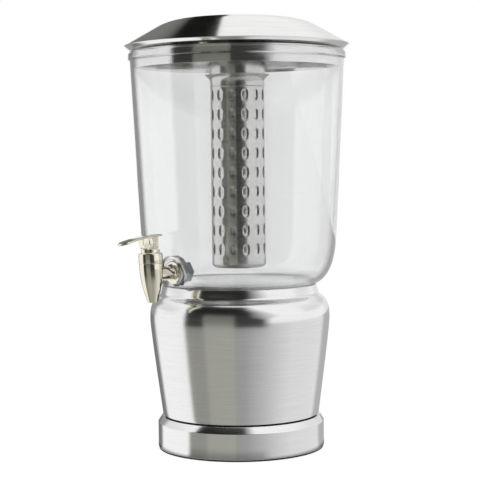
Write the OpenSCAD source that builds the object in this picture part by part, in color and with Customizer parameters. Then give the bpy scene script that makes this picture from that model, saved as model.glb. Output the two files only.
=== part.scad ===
// Beverage dispenser: clear tapered vessel on a waisted steel stand, with a lever tap,
// a domed lid and a louvred infuser that hangs from the lid.
// The origin is under the stand on its axis, and the tap points to -Y.

/* [Base] */
// Radius of the non-slip pad
pad_r = 95; // [80:0.5:100]
// Thickness of the non-slip pad
pad_t = 2; // [1:0.5:4]
// Outer radius of the base ring
ring_r = 95.7; // [94:0.1:105]
// Height of the base ring above the pad
ring_h = 35.6; // [20:0.1:60]
// Height of the chamfer on the base ring
chamfer_h = 7.1; // [3:0.1:12]
// Width of the chamfer on the base ring
chamfer_w = 4.7; // [2:0.1:6]
// Height of the shadow groove between base ring and stand
groove_h = 1.8; // [1:0.1:4]
// Thickness of the steel sheet of the stand
sheet_t = 1.2; // [0.8:0.1:2]

/* [Stand] */
// Radius of the stand at its foot
foot_r = 90; // [86:0.5:92]
// Radius of the stand at its widest
bulge_r = 103.3; // [98:0.1:115]
// Radius of the neck where it leaves the shoulder
neck_r = 90.4; // [86:0.1:96]
// Height from the foot to the widest place
bulge_rise = 110.6; // [90:0.1:160]
// Height from the widest place to the neck
shoulder_rise = 29.4; // [24:0.1:40]
// Height of the neck
neck_h = 8.2; // [5:0.1:14]
// How much the neck narrows towards its rim
neck_draw = 1.8; // [0:0.1:3]
// Outward lean of the stand at its foot, in degrees
foot_lean = 7.5; // [4:0.1:10]
// How far the skirt of the stand steps in below the foot
skirt_step = 2.5; // [2:0.1:4]

/* [Seat] */
// Depth of the seat below the rim of the neck
seat_drop = 4.1; // [3:0.1:6]
// Radius of the hole in the seat ring
seat_hole_r = 12; // [8:1:66]
// Thickness of the soft ring on the seat
seat_pad_t = 2.1; // [1:0.1:3]
// Width of the soft ring on the seat
seat_pad_w = 8; // [4:0.5:10]

/* [Vessel] */
// Height of the vessel
vessel_h = 267.9; // [220:0.1:320]
// Wall of the vessel
vessel_wall = 4; // [3:0.1:5]
// Radius of the wall above the rounded bottom
wall_r = 112.4; // [108:0.1:120]
// Height of the rounded bottom
round_h = 64.2; // [55:0.1:80]
// How far the flat bottom stays inside the rim of the neck
flat_inset = 15.2; // [14:0.1:20]
// Height of the bead round the mouth
bead_h = 9; // [5:0.1:14]
// How far the bead stands out
bead_w = 1.5; // [0.8:0.1:3]
// Distance from the bead to the top edge of the vessel
bead_drop = 1.3; // [1:0.1:4]

/* [Lid] */
// Radius of the lid at its sharp rim
lid_r = 129.2; // [122:0.1:140]
// How far the rim of the lid stands out over the mouth of the vessel
lid_over = 5.7; // [4.7:0.1:12]
// Radius of the flat middle of the lid
dome_flat_r = 60; // [40:0.5:70]
// Radius of the rounded shoulder of the lid
dome_arc_r = 66; // [30:0.5:80]
// Slope of the side of the lid, in degrees
dome_slope = 29.5; // [25:0.5:40]
// Height of the bevel under the rim
bevel_h = 6.6; // [4:0.1:10]
// Width of the bevel under the rim
bevel_w = 7.7; // [4:0.1:8]
// Thickness of the lid sheet
lid_t = 1; // [0.6:0.1:1.5]
// Depth of the plug skirt
plug_h = 19; // [12:0.1:24]
// Gap between plug skirt and vessel
plug_gap = 0.6; // [0.4:0.1:1.5]

/* [Infuser] */
// Outer radius of the infuser tube
tube_r = 31; // [24:0.1:40]
// Height of the end of the infuser tube above the bottom of the vessel
tube_clear = 21.6; // [18:0.1:24]
// Wall of the infuser tube
tube_wall = 1; // [0.8:0.1:1.5]
// Corner radius at the closed end
tube_corner = 5; // [2:0.1:10]
// Height of the flared mouth
mouth_h = 14; // [10.5:0.1:16]
// How far the flare stands out
flare_w = 6.2; // [3:0.1:9]
// Height of the rolled bead at the joint of mouth and tube
joint_h = 1.4; // [0.8:0.1:1.8]
// How far the rolled bead stands out
joint_w = 0.5; // [0.2:0.1:1]
// How far the collar under the lid stands out over the infuser tube
collar_over = 1; // [0:0.1:3]
// Height of the collar under the lid
collar_h = 27.3; // [18:0.1:30]
// Gap between collar and infuser mouth
collar_gap = 0.5; // [0.3:0.1:1]
// How far the spigot of the collar stays inside the outside of the infuser tube
spigot_inset = 3.5; // [3.2:0.1:6]
// Height of a bayonet lug
lug_h = 3; // [2:0.1:4]
// Height of a bayonet tab
tab_h = 2.5; // [2:0.1:3]
// Arc of a bayonet lug or tab, in degrees
lug_arc = 30; // [15:1:40]
// Number of bayonet lugs
lug_count = 3; // [2:1:3]

/* [Louvres] */
// Rows of louvres
louvre_rows = 9; // [1:1:9]
// Louvres in a row
louvre_cols = 13; // [3:1:14]
// Distance from the top of the tube to the first row
louvre_top = 8.9; // [8:0.1:12]
// Distance from the last row to the end of the tube
louvre_low = 21.7; // [16:0.1:30]
// Width of a louvre
louvre_w = 6.4; // [4:0.1:9]
// Height of a louvre
louvre_h = 12.6; // [10:0.1:14]
// How far a louvre strip is pressed in
louvre_press = 1.6; // [1.5:0.1:4]
// Width of the slit on each side of a strip
louvre_slit = 0.5; // [0.5:0.1:1.2]
// Thickness of a louvre strip
strip_t = 0.7; // [0.5:0.05:0.75]
// Turn of the louvre columns, in degrees
louvre_turn = 26; // [0:1:29]

/* [Tap] */
// Height of the tap above the bottom of the vessel
tap_rise = 21.5; // [19:0.1:24]
// How far the flat for the tap lies inside the wall
tap_inset = 12.4; // [10:0.1:13]
// Turn of the tap about its shank, in degrees, where 0 is upright
tap_turn = 3; // [0:0.5:6]
// Radius of the flat for the tap
boss_r = 15.8; // [15:0.1:16]
// Radius of the hole for the tap
tap_hole_r = 8; // [7.9:0.05:8.5]
// Radius of the threaded shank
shank_r = 7.75; // [6.8:0.05:7.8]
// Radius of the plain neck of the shank
shank_neck_r = 7.6; // [5.5:0.1:8.5]
// Width and length of the flare from the neck to the flange
neck_flare = 4.2; // [2:0.1:5]
// Length of the threaded shank inside the inner washer
shank_tail = 13; // [11:0.5:16]
// Radius of the water passage in the shank
passage_r = 4.2; // [3:0.1:4.6]
// Distance from the flat to the axis of the tap body
tap_reach = 34.7; // [32:0.1:45]
// Radius of the flange
flange_r = 12.8; // [11:0.1:14]
// Thickness of the flange
flange_t = 2; // [1.5:0.1:3]
// Radius of the washers
washer_r = 13; // [12:0.1:13.2]
// Thickness of a washer
washer_t = 2.5; // [1:0.1:3]
// Radius of the nut flange
nut_r = 12.7; // [12.1:0.1:13]
// Width of the nut across its flats
nut_flats = 21; // [18.5:0.5:21]
// Thickness of the nut
nut_t = 12.5; // [6:0.5:13]
// Thickness of the flange on the nut
nut_flange_t = 3.5; // [1:0.1:5]
// Radius of the tap body
tap_r = 13; // [12.7:0.1:15]
// Height of the joint of body and bonnet above the shank axis
seam_rise = 11.7; // [10:0.1:13]
// Distance from the shank axis down to the end of the nozzle
nozzle_drop = 30.7; // [29:0.1:36]
// Radius of the nozzle at its end
nozzle_r = 5.7; // [5:0.1:6.5]
// Lean of the side of the nozzle at its end, in degrees
nozzle_lean = 17; // [10:1:25]
// Radius of the bore of the nozzle
outlet_r = 4; // [3:0.1:4.2]
// Radius of the chamber in the tap body
chamber_r = 9.5; // [8.8:0.1:9.6]
// Distance from the shank axis down to the valve seat
valve_drop = 10; // [8:0.1:11]
// Wall of the threaded neck under the bonnet
tap_neck_wall = 1.7; // [1.2:0.1:1.9]
// Height of the threaded neck under the bonnet
tap_neck_h = 6; // [4:0.1:6.2]
// Radius of the bonnet
bonnet_r = 13.25; // [13:0.05:15]
// Height of the bonnet
bonnet_h = 11.8; // [11.3:0.1:14]
// Radius of the rounded edge of the bonnet
bonnet_round = 2; // [0.5:0.1:2]
// Radius of the boss on the bonnet
gland_r = 10.3; // [8:0.1:10.8]
// Height of the boss on the bonnet
gland_h = 3.4; // [2.5:0.1:4]
// Clearance of a screwed joint
screw_gap = 0.05; // [0.02:0.01:0.2]

/* [Valve] */
// Radius of the stem
stem_r = 2.2; // [2.1:0.05:2.5]
// Running clearance of stem and pin
run_gap = 0.05; // [0.02:0.01:0.1]
// Radius of the plug
plug_r = 7; // [6:0.1:7.5]
// Thickness of the plug
plug_t = 5; // [4.5:0.1:7]
// Radius of the stem end in the plug
stem_end_r = 1.5; // [1:0.1:2]
// Length of the stem end in the plug
stem_end_len = 3; // [2:0.1:4]
// Radius of the collar on the stem
stem_collar_r = 6.5; // [6.2:0.1:7]
// Thickness of the collar on the stem
stem_collar_t = 1.5; // [1:0.1:2.5]
// Radius of the section of the stem seal
seal_r = 0.8; // [0.6:0.05:0.9]
// Height of the seal groove above the roof of the bonnet
seal_rise = 1.4; // [1.2:0.1:2]
// Mean radius of the return spring
spring_r = 5.4; // [4.8:0.1:5.6]
// Radius of the spring wire
wire_r = 0.55; // [0.3:0.05:0.6]
// Turns of the return spring
spring_turns = 7; // [4:1:9]

/* [Lever] */
// Height of the lever pin above the bonnet
pin_rise = 10.9; // [10:0.1:12]
// Radius of the lever pin
pin_r = 1.6; // [1.2:0.05:1.8]
// Radius of a pin head
pin_head_r = 4.9; // [2.6:0.1:5.2]
// Thickness of a pin head
pin_head_t = 1.2; // [0.5:0.1:1.5]
// How far the cam centre lies in front of the pin
cam_offset = 5.8; // [4:0.1:6]
// Clearance between cam and bonnet
cam_gap = 0.3; // [0.2:0.05:0.6]
// Width of the cam block
block_w = 8.6; // [8.2:0.1:12]
// How far the cam block reaches behind the pin
block_back = 8.4; // [6.5:0.1:9]
// Radius of the rear lower edge of the cam block
block_round = 3; // [1:0.1:3.5]
// Thickness of the flat head of the stem
tang_t = 4.4; // [3.4:0.1:5]
// Width of the flat head of the stem
tang_w = 6; // [5:0.1:6.4]
// Side clearance of the stem head in the slot
slot_gap = 0.2; // [0.1:0.05:0.4]
// How far the slot reaches in front of the pin
slot_front = 7; // [6.6:0.1:8]
// How far the slot reaches behind and above the pin
slot_back = 3.8; // [3.5:0.1:4.2]
// Height of the top of the lever above the pin
lever_rise = 8.5; // [7.5:0.1:10]
// Thickness of the lever
lever_t = 2.6; // [2:0.1:3.4]
// Reach of the lever in front of the pin
lever_front = 43; // [36:0.5:60]
// Reach of the lever behind the pin
lever_back = 17; // [13:0.5:22]
// Half width of the paddle
paddle_r = 8.5; // [6.5:0.1:16]
// Half width of the tail
tail_r = 4.5; // [3:0.1:6]
// Radius of the arch of the lever
arch_r = 180; // [100:5:300]
// Tilt of the lever over the pin with its tail up, in degrees
lever_tilt = 3.7; // [0:0.1:8]

/* [Hidden] */
$fn = 96;
eps = 0.01;
// Extra length of a cut that passes a face
spare = 1;
// Steps along one curve of an outline, along a short one and along a small corner
curve_steps = 12;
short_steps = 8;
corner_steps = 6;
// Handles of the curves of the stand, as shares of a rise
foot_pull = 0.37;
bulge_pull = 0.1;
shoulder_pull = 0.88;
neck_pull = 0.24;
// Handles of the curve of the vessel's bottom, as shares of its width and height
bottom_pull = 0.865;
side_pull = 0.45;
// Handles of the side of the tap body, as shares of its length
shoulder_hold = 0.4;
tip_hold = 0.36;
// Handles of the flare of the infuser mouth, as shares of its height and width
flare_start = 0.5;
flare_end = 0.25;
flare_out = 0.4;

// Heights of the stand
plate_z = pad_t;
skirt_z = plate_z + sheet_t;
ring_top_z = plate_z + ring_h;
foot_z = ring_top_z + groove_h;
bulge_z = foot_z + bulge_rise;
neck_z = bulge_z + shoulder_rise;
rim_z = neck_z + neck_h;
rim_r = neck_r - neck_draw;
skirt_r = foot_r - skirt_step;
fit_gap = 0.2;

// Heights and radii of the vessel
seat_z = rim_z - seat_drop;
vessel_z = seat_z + seat_pad_t;
vessel_top_z = vessel_z + vessel_h;
flat_r = rim_r - flat_inset;
mouth_r = lid_r - lid_over;
wall_z = vessel_z + round_h;
wall_lean = atan((mouth_r - wall_r) / (vessel_h - round_h));
bead_top_z = vessel_top_z - bead_drop;
bead_low_z = bead_top_z - bead_h;
function wall_at(z) = wall_r + (z - wall_z) * tan(wall_lean);

// Heights and radii of the lid
tip_z = vessel_top_z + bevel_h;
dome_end_r = dome_flat_r + dome_arc_r * sin(dome_slope);
dome_top_z = tip_z + dome_arc_r * (1 - cos(dome_slope)) + (lid_r - dome_end_r) * tan(dome_slope);
plug_low_z = vessel_top_z - plug_h;
plug_out_r = wall_at(plug_low_z) - vessel_wall / cos(wall_lean) - plug_gap;

// Heights of the infuser
collar_low_z = vessel_top_z - collar_h;
mouth_z = collar_low_z - collar_gap;
tube_z = mouth_z - mouth_h;
// Height from the rolled bead to the bayonet tabs
tab_clear = 0.6;
tab_z = tube_z + joint_h + tab_clear;
tube_low_z = vessel_z + tube_clear;
louvre_pitch = (tube_z - tube_low_z - louvre_top - louvre_low) / max(louvre_rows - 1, 1);
bore_r = tube_r - tube_wall;
collar_r = tube_r + collar_over;
spigot_r = tube_r - spigot_inset;
// Room between the bayonet lugs and the wall, and between the tabs and the spigot
lug_room = 0.4;

// Heights of the tap, above the shank axis
bonnet_z = seam_rise + bonnet_h;
gland_z = bonnet_z + gland_h;
pin_z = bonnet_z + pin_rise;
cam_r = pin_rise - gland_h - cam_gap;
roof_z = seam_rise + tap_neck_h + fit_gap;
seal_z = roof_z + seal_rise + seal_r;
seat_face_z = -valve_drop;
plug_top_z = seat_face_z + plug_t;
spring_low_z = plug_top_z + stem_collar_t;
thread_r = chamber_r + tap_neck_wall;
// Room round the inner washer in its pocket
washer_room = 0.3;
pocket_r = washer_r + washer_room;
// Width of the thick wall round the flat for the tap
pad_ring = 3;

// Points of a cubic curve
function curve(a, b, c, d, n = curve_steps) = [
    for (i = [0:n])
        let (t = i / n, u = 1 - t)
        u * u * u * a + 3 * u * u * t * b + 3 * u * t * t * c + t * t * t * d
];

// Points of an arc
function arc(x, y, r, a0, a1, n = curve_steps) = [
    for (i = [0:n])
        let (a = a0 + (a1 - a0) * i / n)
        [x + r * cos(a), y + r * sin(a)]
];

// A line of points moved sideways by t, to the left of its run for a positive t
function beside(p, t) = [
    for (i = [0:len(p) - 1])
        let (
            d = p[min(i + 1, len(p) - 1)] - p[max(i - 1, 0)],
            m = norm(d)
        )
        p[i] + t * [-d[1], d[0]] / m
];

function reversed(p) = [for (i = [len(p) - 1:-1:0]) p[i]];

// Turned ring of rectangular section
module ring(r0, r1, z0, z1) {
    rotate_extrude()
        translate([r0, z0])
            square([r1 - r0, z1 - z0]);
}

// Flat disc
module disc(r, z0, z1) {
    translate([0, 0, z0])
        cylinder(r = r, h = z1 - z0);
}

// Places a child drawn on the tap: outward is -Y, and the flat on the vessel is y = 0
module at_tap() {
    translate([0, tap_inset - wall_r, vessel_z + tap_rise])
        rotate([0, -tap_turn, 0])
            children();
}

// Places a child on the axis of the tap body
module at_tap_body() {
    at_tap()
        translate([0, -tap_reach, 0])
            children();
}

// Cylinder along the shank from y0 to y1
module along_shank(r, y0, y1, fn = 96) {
    translate([0, y0, 0])
        rotate([-90, 0, 0])
            cylinder(r = r, h = y1 - y0, $fn = fn);
}

// Ring of the bayonet: count pieces of the given arc
module bayonet(r0, r1, z0, z1) {
    for (i = [0:lug_count - 1])
        rotate([0, 0, i * 360 / lug_count - lug_arc / 2])
            rotate_extrude(angle = lug_arc)
                translate([r0, z0])
                    square([r1 - r0, z1 - z0]);
}

module base_pad() {
    color([0.05, 0.05, 0.05])
        disc(pad_r, 0, pad_t);
}

module base_plate() {
    color([0.7, 0.7, 0.7])
        disc(ring_r - sheet_t - fit_gap, plate_z, skirt_z);
}

module base_ring() {
    wall_top_z = ring_top_z - chamfer_h;
    top_r = ring_r - chamfer_w;
    hem_r = skirt_r + fit_gap;
    slope_t = sheet_t / cos(atan(chamfer_w / chamfer_h));
    color([0.72, 0.72, 0.73])
        rotate_extrude()
            polygon([
                [ring_r - sheet_t, plate_z],
                [ring_r, plate_z],
                [ring_r, wall_top_z],
                [top_r, ring_top_z],
                [hem_r, ring_top_z],
                [hem_r, ring_top_z - sheet_t],
                [top_r - slope_t, ring_top_z - sheet_t],
                [ring_r - sheet_t, wall_top_z - sheet_t]
            ]);
}

module stand_body() {
    lower = curve(
        [foot_r, foot_z],
        [foot_r, foot_z] + foot_pull * bulge_rise * [sin(foot_lean), cos(foot_lean)],
        [bulge_r, bulge_z - bulge_pull * bulge_rise],
        [bulge_r, bulge_z]
    );
    neck_lean = atan(neck_draw / neck_h);
    upper = curve(
        [bulge_r, bulge_z],
        [bulge_r, bulge_z + shoulder_pull * shoulder_rise],
        [neck_r, neck_z] + neck_pull * shoulder_rise * [sin(neck_lean), -cos(neck_lean)],
        [neck_r, neck_z]
    );
    outer = concat(lower, [for (i = [1:curve_steps]) upper[i]], [[rim_r, rim_z]]);
    inner = beside(outer, sheet_t);
    inner_top = [rim_r - sheet_t, rim_z];
    color([0.74, 0.74, 0.75])
        union() {
            rotate_extrude()
                polygon(concat(
                    outer,
                    [inner_top],
                    [for (i = [len(inner) - 2:-1:1]) inner[i]],
                    [[foot_r - sheet_t, foot_z]]
                ));
            ring(skirt_r - sheet_t, foot_r, foot_z, foot_z + sheet_t);
            ring(skirt_r - sheet_t, skirt_r, skirt_z, foot_z + sheet_t);
        }
}

module seat_ring() {
    outer_r = rim_r - sheet_t - fit_gap;
    color([0.7, 0.7, 0.7])
        union() {
            ring(seat_hole_r, outer_r, seat_z - sheet_t, seat_z);
            ring(outer_r - sheet_t, outer_r, seat_z - sheet_t, rim_z - sheet_t);
        }
}

module seat_pad() {
    color([0.2, 0.2, 0.2])
        ring(flat_r - seat_pad_w, flat_r, seat_z, vessel_z);
}

// Outline of the vessel's outside from the bottom edge to the bead
function vessel_side(inset) =
    let (
        lean = [sin(wall_lean), cos(wall_lean)],
        low = [flat_r, vessel_z],
        high = [wall_r, wall_z],
        side = curve(
            low,
            low + [bottom_pull * (wall_r - flat_r), 0],
            high - side_pull * round_h * lean,
            high
        )
    )
    inset == 0 ? side : concat([low + [0, inset]], [for (i = [1:curve_steps]) beside(side, inset)[i]]);

// Solid of revolution under the vessel's side, moved in by a wall
module vessel_solid(inset, top_z) {
    top_r = wall_at(top_z) - inset / cos(wall_lean);
    rotate_extrude()
        polygon(concat(
            [[0, vessel_z + inset]],
            vessel_side(inset),
            [[top_r, top_z], [0, top_z]]
        ));
}

module vessel() {
    bead_r = wall_at(bead_top_z) + bead_w;
    color([0.85, 0.9, 0.92, 0.4])
        difference() {
            union() {
                difference() {
                    vessel_solid(0, vessel_top_z);
                    vessel_solid(vessel_wall, vessel_top_z + eps);
                }
                rotate_extrude()
                    polygon([
                        [wall_at(bead_low_z) - vessel_wall / 2, bead_low_z],
                        [wall_at(bead_low_z), bead_low_z],
                        [bead_r, bead_low_z + bead_w],
                        [bead_r, bead_top_z - bead_w],
                        [wall_at(bead_top_z), bead_top_z],
                        [wall_at(bead_top_z) - vessel_wall / 2, bead_top_z]
                    ]);
                intersection() {
                    vessel_solid(0, vessel_top_z);
                    at_tap()
                        along_shank(boss_r + pad_ring, -tap_reach, vessel_wall);
                }
                intersection() {
                    at_tap()
                        along_shank(boss_r, 0, 2 * boss_r);
                    difference() {
                        disc(mouth_r, vessel_z, vessel_top_z);
                        vessel_solid(vessel_wall, vessel_top_z + eps);
                    }
                }
            }
            at_tap() {
                along_shank(boss_r, -tap_reach, 0);
                along_shank(tap_hole_r, -eps, 2 * boss_r);
                along_shank(pocket_r, vessel_wall, 2 * boss_r);
            }
        }
}

module outer_washer() {
    color([0.8, 0.85, 0.9, 0.7])
        at_tap()
            difference() {
                along_shank(washer_r, -washer_t, 0);
                along_shank(shank_r + screw_gap, -washer_t - eps, eps);
            }
}

module inner_washer() {
    color([0.8, 0.85, 0.9, 0.7])
        at_tap()
            difference() {
                along_shank(washer_r, vessel_wall, vessel_wall + washer_t);
                along_shank(shank_r + screw_gap, vessel_wall - eps, vessel_wall + washer_t + eps);
            }
}

module shank_nut() {
    nut_y = vessel_wall + washer_t;
    color([0.25, 0.3, 0.36])
        at_tap()
            difference() {
                union() {
                    along_shank(nut_r, nut_y, nut_y + nut_flange_t);
                    along_shank(nut_flats / 2 / cos(30), nut_y, nut_y + nut_t, 6);
                }
                along_shank(shank_r + screw_gap, nut_y - eps, nut_y + nut_t + eps);
            }
}

module tap_body() {
    flange_y = -washer_t - flange_t;
    tail_y = vessel_wall + washer_t + shank_tail;
    tap_len = seam_rise + nozzle_drop;
    side = curve(
        [tap_r, seam_rise],
        [tap_r, seam_rise - shoulder_hold * tap_len],
        [nozzle_r, -nozzle_drop] + tip_hold * tap_len * [sin(nozzle_lean), cos(nozzle_lean)],
        [nozzle_r, -nozzle_drop],
        short_steps
    );
    color([0.72, 0.69, 0.62])
        difference() {
            union() {
                at_tap_body()
                    rotate_extrude()
                        polygon(concat(
                            [[0, seam_rise + tap_neck_h], [thread_r, seam_rise + tap_neck_h]],
                            [[thread_r, seam_rise]],
                            side,
                            [[0, -nozzle_drop]]
                        ));
                at_tap() {
                    along_shank(shank_neck_r, -tap_reach, flange_y + eps);
                    translate([0, flange_y - neck_flare, 0])
                        rotate([-90, 0, 0])
                            cylinder(
                                r1 = shank_neck_r,
                                r2 = min(shank_neck_r + neck_flare, flange_r),
                                h = neck_flare + eps
                            );
                    along_shank(flange_r, flange_y, -washer_t);
                    along_shank(shank_r, -washer_t - eps, tail_y);
                }
            }
            at_tap_body() {
                disc(chamber_r, seat_face_z, seam_rise + tap_neck_h + eps);
                disc(outlet_r, -nozzle_drop - eps, seat_face_z + eps);
            }
            at_tap()
                along_shank(passage_r, -tap_reach, tail_y + eps);
        }
}

module tap_bonnet() {
    round_z = bonnet_z - bonnet_round;
    round_r = bonnet_r - bonnet_round;
    groove_r = stem_r + run_gap + 2 * seal_r + run_gap;
    color([0.74, 0.71, 0.64])
        at_tap_body()
            difference() {
                rotate_extrude()
                    polygon(concat(
                        [[0, seam_rise], [bonnet_r, seam_rise]],
                        arc(round_r, round_z, bonnet_round, 0, 90, corner_steps),
                        [[gland_r, bonnet_z], [gland_r, gland_z], [0, gland_z]]
                    ));
                disc(thread_r + screw_gap, seam_rise - eps, roof_z);
                disc(stem_r + run_gap, seam_rise, gland_z + eps);
                disc(groove_r, seal_z - seal_r - run_gap, seal_z + seal_r + run_gap);
            }
}

module stem_seal() {
    color([0.1, 0.1, 0.1])
        at_tap_body()
            translate([0, 0, seal_z])
                rotate_extrude()
                    translate([stem_r + run_gap + seal_r, 0])
                        circle(r = seal_r);
}

module valve_stem() {
    tang_low_z = gland_z + fit_gap;
    color([0.6, 0.6, 0.6])
        at_tap_body()
            difference() {
                union() {
                    disc(stem_r, plug_top_z, tang_low_z + eps);
                    disc(stem_end_r, plug_top_z - stem_end_len, plug_top_z + eps);
                    disc(stem_collar_r, plug_top_z, spring_low_z);
                    translate([-tang_t / 2, -tang_w / 2, tang_low_z])
                        cube([tang_t, tang_w, pin_z - tang_low_z]);
                    translate([-tang_t / 2, 0, pin_z])
                        rotate([0, 90, 0])
                            cylinder(d = tang_w, h = tang_t);
                }
                translate([-tang_t, 0, pin_z])
                    rotate([0, 90, 0])
                        cylinder(r = pin_r + run_gap, h = 2 * tang_t);
            }
}

module valve_plug() {
    color([0.85, 0.85, 0.82])
        at_tap_body()
            difference() {
                disc(plug_r, seat_face_z, plug_top_z);
                disc(stem_end_r, plug_top_z - stem_end_len, plug_top_z + eps);
            }
}

// Closed tube of six sides along a helix
module coil(r, wire, z0, z1, turns) {
    sides = 6;
    steps = 8 * turns;
    function at(i, j) =
        let (
            a = 360 * turns * i / steps,
            b = 360 * j / sides,
            q = r + wire * cos(b)
        )
        [q * cos(a), q * sin(a), z0 + (z1 - z0) * i / steps + wire * sin(b)];
    points = [for (i = [0:steps]) for (j = [0:sides - 1]) at(i, j)];
    walls = [
        for (i = [0:steps - 1]) for (j = [0:sides - 1]) for (half = [0, 1])
            let (
                k = (j + 1) % sides,
                p = sides * i + j,
                q = sides * i + k
            )
            half == 0 ? [p, p + sides, q] : [q, p + sides, q + sides]
    ];
    start = [for (j = [1:sides - 2]) [0, j, j + 1]];
    last = sides * steps;
    end = [for (j = [1:sides - 2]) [last, last + j + 1, last + j]];
    polyhedron(points, concat(walls, start, end));
}

module return_spring() {
    low_z = spring_low_z + wire_r + run_gap;
    high_z = roof_z - wire_r - run_gap;
    color([0.7, 0.7, 0.72])
        at_tap_body()
            coil(spring_r, wire_r, low_z, high_z, spring_turns);
}

// Outline of the lever from above: a round paddle that narrows to a round tail
module lever_outline() {
    front_y = paddle_r - lever_front;
    back_y = lever_back - tail_r;
    lean = asin((paddle_r - tail_r) / (back_y - front_y));
    polygon(concat(
        arc(0, back_y, tail_r, lean, 180 - lean),
        arc(0, front_y, paddle_r, 180 - lean, 360 + lean, 2 * curve_steps)
    ));
}

// Side view of the cam block, about the pin
module block_outline() {
    front = cam_offset + cam_r;
    polygon(concat(
        arc(-cam_offset, 0, cam_r, 180, 270),
        arc(block_back - block_round, block_round - cam_r, block_round, 270, 360, corner_steps),
        [[block_back, lever_rise], [-front, lever_rise]]
    ));
}

// Draws an outline of (y, z) with a width along X, about the middle
module across(width) {
    translate([-width / 2, 0, 0])
        rotate([90, 0, 90])
            linear_extrude(width)
                children();
}

module tap_lever() {
    arch_y = arch_r * sin(lever_tilt);
    arch_z = lever_rise - arch_r * cos(lever_tilt);
    skin = lever_t / 2;
    slot_w = max(tang_t, 2 * stem_r) + 2 * slot_gap;
    color([0.76, 0.73, 0.66])
        at_tap_body()
            translate([0, 0, pin_z])
                difference() {
                    union() {
                        intersection() {
                            translate([0, 0, -lever_front])
                                linear_extrude(2 * lever_front)
                                    lever_outline();
                            across(2 * (paddle_r + spare))
                                difference() {
                                    translate([arch_y, arch_z])
                                        circle(r = arch_r, $fn = 360);
                                    translate([arch_y, arch_z])
                                        circle(r = arch_r - lever_t, $fn = 360);
                                }
                        }
                        intersection() {
                            across(block_w)
                                block_outline();
                            across(block_w + 2 * spare)
                                translate([arch_y, arch_z])
                                    circle(r = arch_r - skin, $fn = 360);
                        }
                    }
                    translate([-slot_w / 2, -slot_front, -cam_r - spare])
                        cube([slot_w, slot_front + slot_back, cam_r + spare + slot_back]);
                    translate([-block_w, 0, 0])
                        rotate([0, 90, 0])
                            cylinder(r = pin_r, h = 2 * block_w);
                }
}

module lever_pin() {
    color([0.7, 0.68, 0.62])
        at_tap_body()
            translate([0, 0, pin_z])
                rotate([0, 90, 0]) {
                    translate([0, 0, -block_w / 2])
                        cylinder(r = pin_r, h = block_w);
                    for (side = [-1, 1])
                        translate([0, 0, side * (block_w + pin_head_t) / 2])
                            cylinder(r = pin_head_r, h = pin_head_t, center = true);
                }
}

module lid_dome() {
    side = concat(
        arc(dome_flat_r, dome_top_z - dome_arc_r, dome_arc_r, 90, 90 - dome_slope),
        [[lid_r, tip_z] + 2 * lid_t * [cos(dome_slope), -sin(dome_slope)]]
    );
    color([0.75, 0.75, 0.76])
        rotate_extrude()
            intersection() {
                polygon(concat(
                    [[0, dome_top_z]],
                    side,
                    reversed(beside(side, -lid_t)),
                    [[0, dome_top_z - lid_t]]
                ));
                translate([0, tip_z])
                    square([2 * lid_r, lid_r]);
            }
}

module lid_plate() {
    flat_edge = lid_r - bevel_w;
    slant = lid_t / sin(atan(bevel_h / bevel_w));
    color([0.73, 0.73, 0.74])
        rotate_extrude()
            polygon([
                [0, vessel_top_z],
                [flat_edge, vessel_top_z],
                [lid_r, tip_z],
                [lid_r - slant, tip_z],
                [flat_edge - slant + lid_t * bevel_w / bevel_h, vessel_top_z + lid_t],
                [0, vessel_top_z + lid_t]
            ]);
}

module lid_skirt() {
    color([0.7, 0.7, 0.71])
        ring(plug_out_r - lid_t, plug_out_r, plug_low_z, vessel_top_z);
}

module infuser_collar() {
    spigot_low_z = tab_z - lug_h;
    lug_r = bore_r - lug_room;
    color([0.72, 0.72, 0.73])
        union() {
            ring(collar_r - sheet_t, collar_r, collar_low_z, vessel_top_z);
            ring(spigot_r - sheet_t, collar_r, collar_low_z, collar_low_z + sheet_t);
            ring(spigot_r - sheet_t, spigot_r, spigot_low_z, collar_low_z + sheet_t);
            bayonet(spigot_r - sheet_t / 2, lug_r, spigot_low_z, tab_z);
        }
}

module infuser_mouth() {
    sleeve_z = tab_z + tab_h;
    flare = curve(
        [tube_r, sleeve_z],
        [tube_r, sleeve_z + flare_start * (mouth_z - sleeve_z)],
        [tube_r + flare_out * flare_w, mouth_z - flare_end * (mouth_z - sleeve_z)],
        [tube_r + flare_w, mouth_z],
        short_steps
    );
    outer = concat([[tube_r, tube_z], [tube_r, tab_z]], flare);
    color([0.7, 0.7, 0.71])
        union() {
            rotate_extrude()
                polygon(concat(outer, reversed(beside(outer, tube_wall))));
            ring(tube_r - tube_wall / 2, tube_r + joint_w, tube_z, tube_z + joint_h);
            bayonet(spigot_r + lug_room, tube_r - tube_wall / 2, tab_z, sleeve_z);
        }
}

// Upright oval of the given width and height
module oval(w, h) {
    square([w, h - w], center = true);
    for (side = [-1, 1])
        translate([0, side * (h - w) / 2])
            circle(d = w, $fn = 32);
}

// Prisms that point outwards, one for each louvre of a row
module louvre_prisms(z, w, h) {
    for (i = [0:louvre_cols - 1])
        rotate([0, 0, louvre_turn + i * 360 / louvre_cols])
            translate([tube_r / 2, 0, z])
                rotate([90, 0, 90])
                    linear_extrude(tube_r)
                        oval(w, h);
}

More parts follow.
